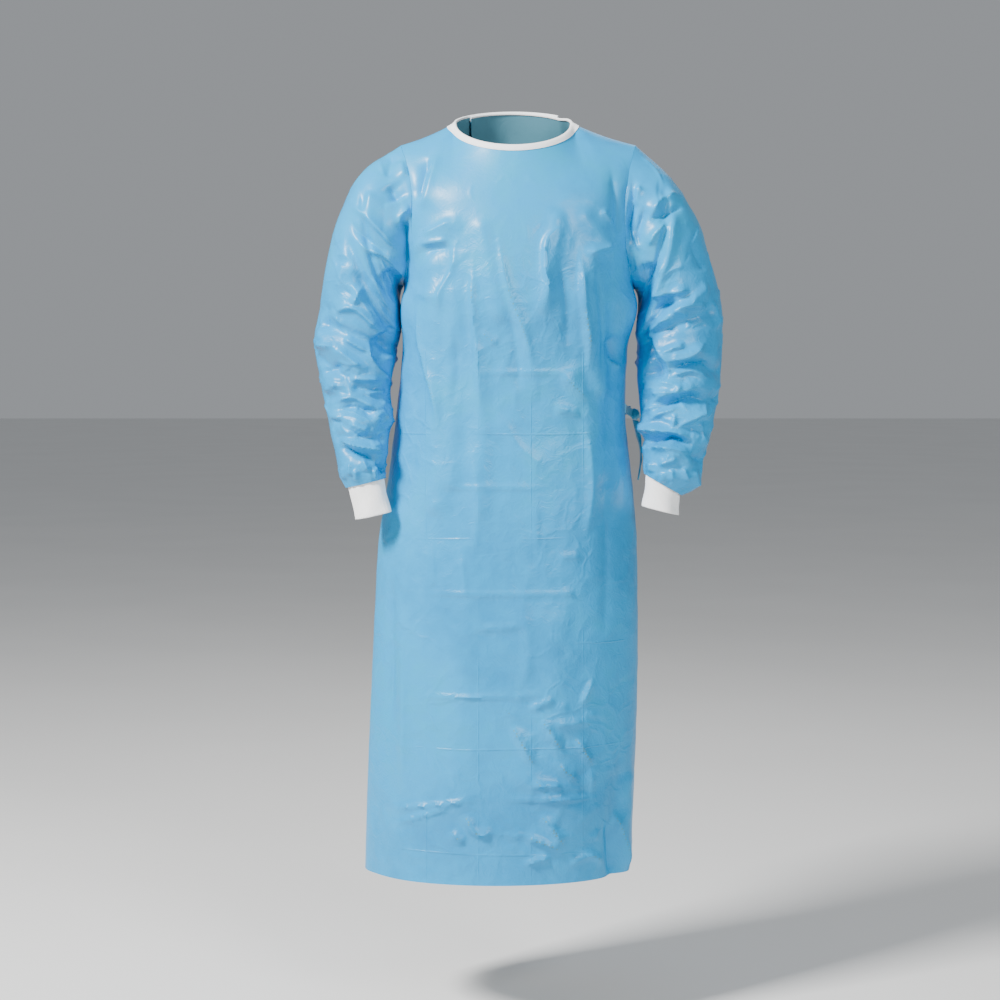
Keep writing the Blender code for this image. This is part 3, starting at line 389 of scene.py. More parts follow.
LEFT_SLEEVE_CREASES = (
    crease(6, -7, 0, 186, -92, 188, -123, 184, -148, 181, -168, 189, -199, 195, -212),
    crease(6, -5, 0, 207, -132, 199, -159, 193, -184, 197, -207),
    crease(6, 4.4, 0, 198, -100, 187, -134),
    crease(5, 4, 0, 182, -174, 198, -205),
    crease(6, 5, 0.4, 212, -152, 235, -123, 259, -115),
    crease(4, -4, 0, 212, -157, 235, -145, 267, -132),
    crease(6, 5, 0.3, 243, -159, 218, -180, 209, -198),
    crease(12, -9, 0, 215, -218, 211, -255, 203, -286, 194, -308),
    crease(5, 5, 0.5, 231, -221, 222, -255, 217, -280),
    crease(6, 5, 0.4, 209, -275, 277, -265),
    crease(5, -4.4, 0, 213, -302, 261, -280),
    crease(5, 4, 0.3, 244, -293, 308, -290),
    crease(4, 3, 0, 244, -294, 275, -304),
    crease(4, 3.4, 0, 206, -311, 247, -311),
    crease(11, -8, 0, 199, -330, 211, -358, 222, -383, 220, -412),
    crease(5, 5, 0.5, 211, -340, 225, -355, 241, -380, 242, -412),
    crease(5, 4, 0, 232, -365, 268, -346),
    crease(5, 4.4, 0.3, 238, -376, 274, -369, 301, -346),
    crease(5, -5, 0, 241, -388, 274, -379, 304, -379, 324, -396),
    crease(6, 4.4, 0.3, 239, -402, 277, -391, 314, -405),
    crease(5, 3, 0, 222, -405, 266, -415),
    crease(5, 3.2, 0, 214, -426, 248, -424),
    crease(6, -6, 0, 212, -455, 251, -438, 284, -432, 309, -440),
    crease(6, 4.6, 0.4, 208, -443, 248, -426, 292, -418),
    crease(4, 3, 0, 252, -429, 261, -412),
    crease(5, 4.4, 0.3, 204, -474, 229, -458, 258, -447),
    crease(4, 3, 0, 247, -482, 253, -455),
    crease(5, 4, 0.3, 253, -480, 308, -449),
    crease(6, -8, 0, 195, -499, 231, -499, 245, -494, 262, -499, 282, -508),
    crease(6, 6, 0.4, 198, -485, 236, -485, 279, -494),
    crease(6, 5, 0.3, 206, -511, 242, -510, 276, -519),
    crease(6, 3.6, 0, 203, -472, 206, -493),
    crease(5, 4.4, 0.3, 226, -539, 256, -527),
    crease(4, 3.2, 0, 262, -539, 273, -564),
    crease(4, 3, 0, 246, -542, 248, -564),
    crease(4, 2.6, 0, 230, -548, 235, -567),
    crease(4, 2.8, 0, 215, -533, 216, -552),
    crease(6, 3, 0, 282, -542, 288, -576),
    crease(9, 3, 0.2, 292, -124, 317, -187),
    crease(8, -3, 0, 276, -187, 302, -236),
    crease(7, 3, 0, 311, -280, 327, -327),
    crease(6, 3, 0, 292, -468, 301, -514),
    crease(5, -3.4, 0, 273, -522, 298, -533),
)
# Creases of a sleeve seen from behind, as distances out from the body
SLEEVE_BACK_CREASES = (
    crease(7, -6, 0, 178, -110, 183, -160, 186, -210),
    crease(6, 4.5, 0.4, 205, -135, 236, -112, 258, -100),
    crease(6, 5, 0.4, 200, -215, 226, -182, 262, -168),
    crease(7, -5, 0, 206, -240, 238, -214, 274, -205),
    crease(6, 5, 0.4, 207, -270, 245, -246, 282, -246),
    crease(6, 5, 0.5, 214, -312, 252, -304, 300, -322),
    crease(9, -7, 0, 210, -338, 256, -334, 300, -351),
    crease(6, 5.5, 0.5, 215, -362, 258, -366, 298, -384),
    crease(5, 4, 0.3, 228, -398, 268, -404),
    crease(6, -5, 0, 216, -420, 250, -426, 290, -418),
    crease(6, 5, 0.4, 212, -440, 248, -450, 288, -438),
    crease(5, 5, 0.4, 214, -476, 246, -470, 280, -482),
    crease(6, -6, 0, 210, -497, 244, -492, 278, -502),
    crease(5, 5, 0.4, 212, -516, 240, -510, 268, -520),
    crease(4, 3, 0, 222, -532, 226, -556),
    crease(4, 3, 0, 240, -530, 242, -560),
    crease(4, 3, 0, 256, -536, 260, -562),
)


def ease(value: Array, start: float, end: float) -> Array:
    """0 before start, 1 after end, and smooth in between."""
    t = np.clip((value - start) / (end - start), 0, 1)
    return t * t * (3 - 2 * t)


def through(knots: Sequence[float], rows: Sequence[Array], at: Array) -> Array:
    """A smooth curve through rows of points.

    Args:
        knots: Where each row lies along the curve.
        rows: The rows, all of one shape.
        at: The places to work out.

    Returns:
        One row for each place.
    """
    knots_ = np.asarray(knots, float)
    rows_ = np.asarray(rows, float)
    step = np.diff(knots_)
    wide = (-1,) + (1,) * (rows_.ndim - 1)
    slope = np.diff(rows_, axis=0) / step.reshape(wide)
    tangent = np.empty_like(rows_)
    tangent[0], tangent[-1] = slope[0], slope[-1]
    before, after = step[:-1].reshape(wide), step[1:].reshape(wide)
    tangent[1:-1] = (slope[:-1] * after + slope[1:] * before) / (before + after)
    place = np.clip(np.searchsorted(knots_, at, side="right") - 1, 0, len(step) - 1)
    width = step[place].reshape(wide)
    t = ((np.asarray(at) - knots_[place]) / step[place]).reshape(wide)
    return (
        rows_[place] * (1 + 2 * t) * (1 - t) ** 2
        + rows_[place + 1] * t * t * (3 - 2 * t)
        + width * (tangent[place] * t * (1 - t) ** 2 - tangent[place + 1] * t * t * (1 - t))
    )


def unit(vectors: Array) -> Array:
    """Vectors at length 1."""
    return vectors / np.maximum(np.linalg.norm(vectors, axis=-1, keepdims=True), 1e-12)


def grid_normals(points: Array, tube: bool = False) -> Array:
    """Unit normals of a grid, by the differences along its rows and columns.

    Args:
        points: Points by row and column.
        tube: Whether the last column meets the first.

    Returns:
        One normal for each point.
    """
    if tube:
        points = np.concatenate([points[:, -1:], points, points[:, :1]], axis=1)
    normal = unit(np.cross(np.gradient(points, axis=1), np.gradient(points, axis=0)))
    return normal[:, 1:-1] if tube else normal


def soft_heights(across: Array, down: Array, folds: Sequence[SoftFold]) -> Array:
    """Sum of the soft folds' heights at each place.

    Args:
        across: How far across the cloth each place lies.
        down: How far down the cloth each place lies.
        folds: The folds.

    Returns:
        The heights.
    """
    total = np.zeros_like(across)
    for fold in folds:
        run = np.array([fold.across1 - fold.across0, fold.down1 - fold.down0])
        share = (across - fold.across0) * run[0] + (down - fold.down0) * run[1]
        share = np.clip(share / (run @ run), 0, 1)
        away = np.hypot(across - fold.across0 - share * run[0], down - fold.down0 - share * run[1])
        total += fold.height * np.exp(-((away / fold.width) ** 2))
    return total


@dataclass
class CreaseField:
    """Heights that sharp creases give the cloth.

    Attributes:
        creases: The creases, in the same plane as the places.
        gain: A factor on every height.
        edge: How sharp a crease's crest is, as a share of its width.
        taper: The share of a crease's length over which each end dies away.
        steps: Points for each stretch between a crease's own points.
    """

    creases: Sequence[Crease]
    gain: float = 1.0
    edge: float = 0.22
    taper: float = 0.28
    steps: int = 7

    def line(self, item: Crease) -> Array:
        """A crease's points, joined smoothly.

        Args:
            item: The crease.

        Returns:
            Closer points along its line.
        """
        points = np.array(item.points, float)
        if len(points) == 2:
            return np.linspace(points[0], points[1], self.steps)
        run = np.concatenate([[0], np.cumsum(np.linalg.norm(np.diff(points, axis=0), axis=1))])
        return through(run, points, np.linspace(0, run[-1], self.steps * (len(points) - 1)))

    def add(self, item: Crease, places: Array, heights: Array) -> None:
        """Adds one crease's height to the places near it.

        Args:
            item: The crease.
            places: How far across and down each place lies.
            heights: The heights so far, which this changes.
        """
        line = self.line(item)
        width = item.width / 1000
        reach = 5.5 * width
        low, high = line.min(axis=0) - reach, line.max(axis=0) + reach
        near = np.flatnonzero(((places > low) & (places < high)).all(axis=1))
        if not len(near):
            return
        spots = places[near]
        start, run = line[:-1], np.diff(line, axis=0)
        length = np.linalg.norm(run, axis=1)
        done = np.concatenate([[0], np.cumsum(length)])
        best = np.full(len(near), np.inf)
        side, share = np.zeros(len(near)), np.zeros(len(near))
        for i in range(len(run)):
            offset = spots - start[i]
            t = np.clip((offset @ run[i]) / (length[i] ** 2), 0, 1)
            gap = offset - t[:, None] * run[i]
            away = np.hypot(gap[:, 0], gap[:, 1])
            closer = away < best
            best[closer] = away[closer]
            cross = run[i][0] * offset[:, 1] - run[i][1] * offset[:, 0]
            side[closer] = np.tanh(cross[closer] / length[i] / (0.4 * width))
            share[closer] = (done[i] + t[closer] * length[i]) / done[-1]
        flank = width * (1 + item.lean * side)
        crest = self.edge * width
        shape = np.exp(-(np.sqrt(best**2 + crest**2) - crest) / flank)
        ends = ease(np.minimum(share, 1 - share), 0.0, self.taper)
        heights[near] += self.gain * item.height / 1000 * shape * (0.12 + 0.88 * ends)

    def heights(self, across: Array, down: Array) -> Array:
        """Height of the cloth over its smooth form at each place.

        Args:
            across: How far across the cloth each place lies.
            down: How far down the cloth each place lies.

        Returns:
            The heights.
        """
        places = np.stack([across.ravel(), down.ravel()], axis=1)
        total = np.zeros(len(places))
        for item in self.creases:
            self.add(item, places, total)
        return total.reshape(across.shape)


@dataclass(frozen=True)
class Scatter:
    """Small creases of a kind, scattered over a stretch of cloth from a seed."""

    seed: int
    count: int
    low: Place
    high: Place
    length_mm: Place
    height_mm: Place
    angle_deg: float
    spread_deg: float

    def creases(self) -> list[Crease]:
        """The creases, each bent a little in its middle.

        Returns:
            The creases.
        """
        pick = np.random.default_rng(self.seed)
        made = []
        for _ in range(self.count):
            middle = pick.uniform(self.low, self.high)
            angle = math.radians(self.angle_deg + self.spread_deg * pick.standard_normal())
            half = pick.uniform(*self.length_mm) / 2000
            way = np.array([math.cos(angle), math.sin(angle)])
            bend = np.array([-way[1], way[0]]) * half * pick.uniform(-0.35, 0.35)
            height = pick.uniform(*self.height_mm) * (1 if pick.random() < 0.65 else -1)
            width = pick.uniform(2.2, 4.2)
            ends = (middle - way * half, middle + bend, middle + way * half)
            points = tuple((float(p[0]), float(p[1])) for p in ends)
            made.append(Crease(width, height, pick.uniform(-0.5, 0.5), points))
        return made


@dataclass
class BodyForm:
    """The body of the gown, from the hem to the shoulder seams and the neck edge.

    Attributes:
        rows_below: Steps from the hem to the armpits.
        rows_beside: Rows from the armpits up to the shoulder seams.
        shoulder_columns: Steps over each shoulder.
        neck_columns: Steps across the neck.
    """

    rows_below: int = 208
    rows_beside: int = 100
    shoulder_columns: int = 26
    neck_columns: int = 98
    neck_half_width: float = 0.0925
    neck_side_y: float = 0.002
    neck_front_depth: float = 0.084
    neck_back_depth: float = 0.078
    neck_front_drop: float = 0.042
    neck_back_rise: float = 0.024
    centre_x: float = 0.008
    shoulder_half_width: float = 0.186
    shoulder_drop: float = 0.035
    shoulder_sag: float = 0.003
    shoulder_y: float = 0.004
    top: float = 1.180
    top_row: float = 0.0030
    neck_share: float = 0.62
    section_power: float = 0.8
    lap_share: float = 4 / 7
    lap_start: float = 0.50
    lap_full: float = 0.39
    lap_step: float = 0.0062

    def armpit(self) -> float:
        """Station of the armpits above the hem."""
        return LEVEL_ROWS[-1].z - LEVEL_ROWS[0].z

    def stations(self) -> Array:
        """Stations of the grid's rows above the hem.

        Returns:
            One distance for each row.
        """
        below = np.linspace(0, self.armpit(), self.rows_below + 1)
        beside = np.linspace(self.armpit(), self.top - self.top_row, self.rows_beside)
        return np.concatenate([below, beside[1:], [self.top]])

    def front_columns(self) -> Array:
        """Places of the front's columns, as shares of its half width.

        Returns:
            From -1 at its right side to 1.
        """
        side = np.linspace(1, self.neck_share, self.shoulder_columns + 1)
        neck = np.linspace(-self.neck_share, self.neck_share, self.neck_columns + 1)
        return np.concatenate([-side, neck[1:-1], side[::-1]])

    def back_columns(self) -> Array:
        """Columns of the outer back, from the wearer's right side to past the middle.

        Returns:
            Shares of the half width, as for the front.
        """
        side = np.linspace(1, self.neck_share, self.shoulder_columns + 1)
        half = self.neck_columns // 2
        neck = np.linspace(-self.neck_share, self.neck_share, self.neck_columns + 1)
        return np.concatenate([-side, neck[1 : half + int(round(half * self.lap_share)) + 1]])

    def level(self, row: LevelRow, u: Array, facing: Facing) -> Array:
        """Points of a section below the armholes.

        Args:
            row: The section.
            u: The columns, as shares of the half width.
            facing: Front or back.

        Returns:
            One point for each column.
        """
        depth = (row.front_y if facing is Facing.FRONT else row.back_y) - self.shoulder_y
        x = row.centre_x + row.half_width * np.sin(u * math.pi / 2)
        y = self.shoulder_y + depth * np.abs(np.cos(u * math.pi / 2)) ** self.section_power
        return np.stack([x, y, np.full_like(u, row.z)], axis=-1)

    def chest(self, row: ChestRow, u: Array, facing: int) -> Array:
        """Points of a row that ends at the armholes.

        Args:
            row: The row.
            u: The columns, as shares of the half width.
            facing: -1 for the front and 1 for the back.

        Returns:
            One point for each column.
        """
        wrap = math.radians(row.wrap_deg)
        mid_y = row.front_y if facing < 0 else row.back_y
        mid_z = row.front_z if facing < 0 else row.back_z
        least = math.cos(wrap) ** self.section_power
        bulge = (np.cos(u * wrap) ** self.section_power - least) / (1 - least)
        edge_y = self.shoulder_y + facing * row.edge_y
        x = self.centre_x + row.half_width * np.sin(u * wrap) / math.sin(wrap)
        z = row.edge_z + (mid_z - row.edge_z) * (1 - u * u)
        return np.stack([x, edge_y + (mid_y - edge_y) * bulge, z], axis=-1)

    def upper_edge(self, u: Array, facing: int) -> Array:
        """Points of a panel's upper edge: shoulder seam, neck, shoulder seam.

        Args:
            u: The columns, as shares of the half width.
            facing: -1 for the front and 1 for the back.

        Returns:
            One point for each column.
        """
        side = np.sign(u)
        share = np.clip(np.abs(u) / self.neck_share, 0, 1)
        neck = np.cos(share * math.pi / 2)
        out = np.clip((np.abs(u) - self.neck_share) / (1 - self.neck_share), 0, 1)
        x = side * self.neck_half_width * np.sin(share * math.pi / 2)
        x = x + out * (self.centre_x + side * (self.shoulder_half_width - self.neck_half_width))
        depth = self.neck_front_depth if facing < 0 else self.neck_back_depth
        rise = -self.neck_front_drop if facing < 0 else self.neck_back_rise
        y = self.neck_side_y + facing * depth * neck + out * (self.shoulder_y - self.neck_side_y)
        z = rise * neck - self.shoulder_drop * out - self.shoulder_sag * np.sin(math.pi * out)
        return np.stack([x, y, z], axis=-1)

    def surface(self, places: Array, facing: Facing) -> Array:
        """Grid of the cloth's outside without its folds.

        Args:
            places: The columns, as shares of the half width.
            facing: Front or back.

        Returns:
            Points by row and column.
        """
        way = facing.value
        u = np.concatenate([[-1.0], places, [1.0]])
        stations = self.stations()
        rows = [self.level(row, u, facing) for row in LEVEL_ROWS]
        rows += [self.chest(row, u, way) for row in CHEST_ROWS]
        knots = [row.z - LEVEL_ROWS[0].z for row in LEVEL_ROWS]
        knots += [row.edge_z - LEVEL_ROWS[0].z for row in CHEST_ROWS]
        top = self.upper_edge(u, way)
        over = self.chest(CHEST_ROWS[-1], u, -way)
        past = ease(np.abs(u), self.neck_share - 0.06, self.neck_share + 0.06)[:, None]
        rows += [top, past * over + (1 - past) * (2 * top - rows[-1])]
        knots += [self.top, 2 * self.top - knots[-1]]
        points = through(knots, rows, stations)
        calm = points.copy()
        for _ in range(60):
            calm[:, 1:-1] = (calm[:, :-2] + 2 * calm[:, 1:-1] + calm[:, 2:]) / 4
        near_corner = np.exp(-(((np.abs(u) - self.neck_share) / 0.13) ** 2))
        near_corner = near_corner * ease(1 - np.abs(u), 0.0, 0.12)
        low_enough = ease(self.top - stations, 0.002, 0.030)
        share = (near_corner[None, :] * low_enough[:, None])[..., None]
        points = points + (calm - points) * share
        below = stations <= self.armpit()
        for column, side in ((0, -1), (-1, 1)):
            off = np.where(below, points[:, column, 1] - self.shoulder_y, 0.0)
            points[..., 1] -= off[:, None] * ease(side * u, 0.5, 1.0)[None, :]
        return points[:, 1:-1]

    def seam_pucker(self, stations: Array, seed: float, size: float) -> Array:
        """Small waves along a seam, the same on both pieces that it joins.

        Args:
            stations: The rows' stations.
            seed: Where the waves start.
            size: Their height.

        Returns:
            One offset for each row.
        """
        s = stations / 0.011 + seed
        wave = np.sin(s) + 0.7 * np.sin(1.73 * s + 1.1) + 0.5 * np.sin(0.37 * s + 0.4)
        return size * wave / 1.6

    def panel(
        self,
        u: Array,
        facing: Facing,
        soft: Sequence[SoftFold],
        sharp: CreaseField,
        small: CreaseField,
        lap_in: Optional[Array] = None,
    ) -> Array:
        """Grid of a body panel with its folds and creases.

        Args:
            u: The columns, as shares of the half width.
            facing: Front or back.
            soft: Its soft folds.
            sharp: Its creases.
            small: Its small creases.
            lap_in: How far in each column lies, under another panel.

        Returns:
            Points by row and column.
        """
        stations = self.stations()
        points = self.surface(u, facing)
        normals = grid_normals(points) * (1 if facing is Facing.FRONT else -1)
        if (normals[..., 1].mean() > 0) != (facing is Facing.BACK):
            normals = -normals
        x, z = points[..., 0], points[..., 2]
        edge = 1 - np.abs(u)
        soft_part = soft_heights(x, z, soft)
        soft_part = soft_part * ease(self.top - stations, 0.03, 0.10)[:, None]
        soft_part = soft_part * ease(edge, 0.0, 0.12)[None, :]
        fine = sharp.heights(x, z) + small.heights(x, z)
        fine *= ease(self.top - stations, 0.002, 0.030)[:, None]
        beside_arm = ease(stations, self.armpit() - 0.01, self.armpit() + 0.05)[:, None]
        at_seam = ease(edge, 0.0, 0.07)[None, :]
        fine *= at_seam + (1 - at_seam) * beside_arm
        fine *= 1 + 0.55 * ease(-z, 0.80, 0.95)
        fine = self.held_down(fine, x, z, facing)
        heights = soft_part + fine
        if lap_in is not None:
            heights = heights - lap_in[None, :]
        points = points + normals * heights[..., None]
        for side in (-1, 1):
            off = 1 - side * u
            pull = self.seam_pucker(stations, 3.0 * side, 0.0007)[:, None]
            fade = np.exp(-off / 0.05)[None, :] * ease(self.top - stations, 0.01, 0.05)[:, None]
            points[..., 0] += side * pull * fade * (edge[None, :] >= -1e-9)
        return points

    def held_down(self, fine: Array, x: Array, z: Array, facing: Facing) -> Array:
        """Keeps creases from standing up where a tie or a sleeve lies on the cloth.

        Args:
            fine: The creases' heights.
            x: Where each point lies across.
            z: How high it lies.
            facing: Front or back.

        Returns:
            The heights, with none above 0 there.
        """
        arm = ease(np.abs(x - 0.004), 0.150, 0.172) * ease(z, -0.375, -0.345)
        tie = ease(z, -0.480, -0.468) * ease(-z, 0.430, 0.444)
        tie = tie * (ease(x, 0.02, 0.045) if facing is Facing.BACK else ease(x, 0.13, 0.15))
        flat = np.maximum(arm, tie)
        return np.where(fine > 0, fine * (1 - flat), fine)


@dataclass
class SleeveForm:
    """A set-in sleeve, from its armhole to its cuff.

    Attributes:
        side: -1 for the wearer's right, 1 for the left.
        rows: Its rings.
        soft: Its soft folds, measured round it and down it.
        front_creases: Creases seen from the front.
        back_creases: Creases seen from behind.
    """

    side: int
    rows: Sequence[SleeveRow]
    soft: Sequence[SoftFold]
    front_creases: Sequence[Crease]
    back_creases: Sequence[Crease]
    steps: int = 232
    radius: float = 0.065
    length: float = 0.560
    fade: float = 0.035
    lean_in: float = 0.0
    gain: float = 2.1
    pleats: int = 15
    pleat_height: float = 0.0024

    def ring(self, row: SleeveRow, angles: Array) -> Array:
        """Points round the sleeve, from its outer edge by the front to its inner edge.

        Args:
            row: The ring.
            angles: Where the points lie round it.

        Returns:
            One point for each angle.
        """
        outer = np.array([row.outer_x, row.centre_y, row.outer_z])
        inner = np.array([row.inner_x, row.centre_y, row.inner_z])
        forward = np.array([0.0, -row.half_depth, 0.0])
        centre, reach = (outer + inner) / 2, (outer - inner) / 2
        return centre + np.outer(np.cos(angles), reach) + np.outer(np.sin(angles), forward)

    def surface(self, loop: Array, angles: Array, small: CreaseField) -> Array:
        """Grid of the sleeve.

        Args:
            loop: The armhole's points.
            angles: The angle round the sleeve of each.
            small: Small creases, measured round the sleeve and down it.

        Returns:
            Points by row, from the armhole down, and by column round the sleeve.
        """
        rings = [loop] + [self.ring(row, angles) for row in self.rows]
        middles = np.array([points.mean(axis=0) for points in rings])
        gaps = np.linalg.norm(np.diff(middles, axis=0), axis=1)
        gaps = (gaps + np.linalg.norm(np.diff([r[0] for r in rings], axis=0), axis=1)) / 2
        knots = np.concatenate([[0], np.cumsum(gaps)])
        places = np.linspace(0, knots[-1], self.steps + 1)
        points = through(knots, rings, places)
        down = np.broadcast_to(places[:, None] * self.length / knots[-1], points.shape[:2])
        turn = np.broadcast_to(angles[None, :], points.shape[:2])
        across = turn * self.radius
        ends = ease(down, 0.0, self.fade) * ease(self.length - down, 0, self.fade)
        heights = soft_heights(across, down, self.soft) * ends
        x, z = points[..., 0], points[..., 2]
        front = ease(np.sin(turn), -0.40, 0.05)
        back = ease(-np.sin(turn), 0.0, 0.30)
        fine = CreaseField(self.front_creases, self.gain).heights(x, z) * front
        fine += CreaseField(self.back_creases, self.gain).heights(x * self.side, z) * back
        fine += small.heights(across, down)
        fine *= ease(down, 0.0, 0.012) * ease(self.length - down, 0.0, 0.006)
        inner = ease(-np.cos(turn), 0.35, 0.75) * ease(0.30 - down, 0.0, 0.05)
        fine = np.where(fine > 0, fine * (1 - inner), fine)
        beside = ease(-np.cos(turn), 0.55, 0.95) * ease(0.150 - np.abs(z + 0.300), 0.0, 0.115)
        fine += self.lean_in * beside * ease(down, 0.0, 0.020)
        pleat = np.sin(self.pleats * turn + 1.1 * np.sin(3 * turn + self.side)) * 0.5 + 0.5
        uneven = 0.6 + 0.4 * np.sin(2 * turn + 0.8) * np.sin(5 * turn)
        gather = ease(down, self.length - 0.045, self.length - 0.012)
        fine += self.pleat_height * pleat**1.5 * uneven * gather
        at_cuff = ease(down, self.length - 0.022, self.length - 0.010)
        fine = np.maximum(fine, -0.0002 * at_cuff - 0.05 * (1 - at_cuff))
        outward = unit(points - points.mean(axis=1, keepdims=True))
        return points + outward * (heights + fine)[..., None]


@dataclass(frozen=True)
class SheetFacts:
    """What a piece of cloth was before it was sewn and worn."""

    node: str
    slot: str
    width: float
    length: float
    area: float
    held: str
    rests_on: tuple[str, ...]


@dataclass
class ClothPiece:
    """A piece of cloth as a grid, given a thin wall towards its inside."""

    facts: SheetFacts
    points: Array
    normals: Array
    tube: bool = False
    cloth: float = 0.0007

    def quads(self) -> Array:
        """Faces of the outside, inside and rim, all pointing out of the wall.

        Returns:
            Four indices for each face, with the inside's points after the outside's.
        """
        rows, columns = self.points.shape[:2]
        count = rows * columns
        index = np.arange(count).reshape(rows, columns)
        if self.tube:
            index = np.concatenate([index, index[:, :1]], axis=1)
        low, high = index[:-1], index[1:]
        grid = np.stack([low[:, :-1], low[:, 1:], high[:, 1:], high[:, :-1]], axis=-1).reshape(-1, 4)
        first, last = index[0], index[-1]
        rims = [
            np.stack([first[1:], first[:-1], first[:-1] + count, first[1:] + count], axis=-1),
            np.stack([last[:-1], last[1:], last[1:] + count, last[:-1] + count], axis=-1),
        ]
        if not self.tube:
            left, right = index[:, 0], index[:, -1]
            rims.append(np.stack([left[:-1], left[1:], left[1:] + count, left[:-1] + count], axis=-1))
            rims.append(np.stack([right[1:], right[:-1], right[:-1] + count, right[1:] + count], axis=-1))
        faces = np.concatenate([grid, grid[:, ::-1] + count] + rims)
        flat = self.points.reshape(-1, 3)
        side = np.cross(flat[grid[:, 1]] - flat[grid[:, 0]], flat[grid[:, 3]] - flat[grid[:, 0]])
        outward = (side * self.normals.reshape(-1, 3)[grid[:, 0]]).sum(axis=1).mean()
        return faces if outward > 0 else faces[:, ::-1]

    def make(self, material: Material) -> bpy.types.Object:
        """Makes the object, with a UV map in metres and a mark on its inside.

        Args:
            material: Its finish.

        Returns:
            The object.
        """
        rows, columns = self.points.shape[:2]
        outside = self.points.reshape(-1, 3)
        inside = (self.points - self.normals * self.cloth).reshape(-1, 3)
        vertices = np.concatenate([outside, inside])
        step_u = np.linalg.norm(np.diff(self.points, axis=1), axis=-1).mean(axis=0)
        step_v = np.linalg.norm(np.diff(self.points, axis=0), axis=-1).mean(axis=1)
        u = np.concatenate([[0], np.cumsum(step_u)])
        v = np.concatenate([[0], np.cumsum(step_v)])
        chart = np.stack(np.broadcast_arrays(u[None, :], v[:, None]), axis=-1).reshape(-1, 2)
        chart = np.concatenate([chart, chart])
        inner = np.concatenate([np.zeros(len(outside)), np.ones(len(inside))])
        return make_mesh(self.facts.node, vertices, self.quads(), material, chart, inner)

    def declare(self, made: bpy.types.Object) -> bpy.types.Object:
        """Hides the imported part that the piece stands in for and parents the piece to the root body."""
        declare(made, self.facts)
        return made


def make_mesh(
    name: str,
    vertices: Array,
    faces: Array,
    material: Material,
    chart: Optional[Array] = None,
    inner: Optional[Array] = None,
) -> bpy.types.Object:
    """A smooth object from points and quads.

    Args:
        name: The node that it stands for.
        vertices: Its points.
        faces: Four indices for each face.
        material: Its finish.
        chart: A place on the flat cloth for each point.
        inner: 1 for each point on the cloth's inside.

    Returns:
        The object, at the origin.
    """
    mesh = bpy.data.meshes.new(name + "_cloth")
    mesh.vertices.add(len(vertices))
    mesh.vertices.foreach_set("co", np.ascontiguousarray(vertices, np.float32).ravel())
    mesh.loops.add(faces.size)
    mesh.loops.foreach_set("vertex_index", np.ascontiguousarray(faces, np.int32).ravel())
    mesh.polygons.add(len(faces))
    mesh.polygons.foreach_set("loop_start", np.arange(0, faces.size, faces.shape[1], dtype=np.int32))
    mesh.update(calc_edges=True)
    mesh.validate()
    if chart is not None:
        layer = mesh.uv_layers.new(name="cloth")
        layer.data.foreach_set("uv", np.ascontiguousarray(chart[faces.ravel()], np.float32).ravel())
    if inner is not None:
        mark = mesh.attributes.new("inner", "FLOAT", "POINT")
        mark.data.foreach_set("value", np.ascontiguousarray(inner, np.float32))
    mesh.shade_smooth()
    mesh.set_sharp_from_angle(angle=math.radians(70))
    mesh.materials.append(material)
    made = bpy.data.objects.new(name + "_cloth", mesh)
    bpy.context.scene.collection.objects.link(made)
    return made


def declare(made: bpy.types.Object, facts: SheetFacts) -> None:
    """Hides the imported part that a piece stands in for and parents the piece to the root body.

    Args:
        made: The piece.
        facts: What is said of it.
    """
    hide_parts(facts.node)
    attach(made, "root")
    LOG.info("%s: %d faces", made.name, len(made.data.polygons))


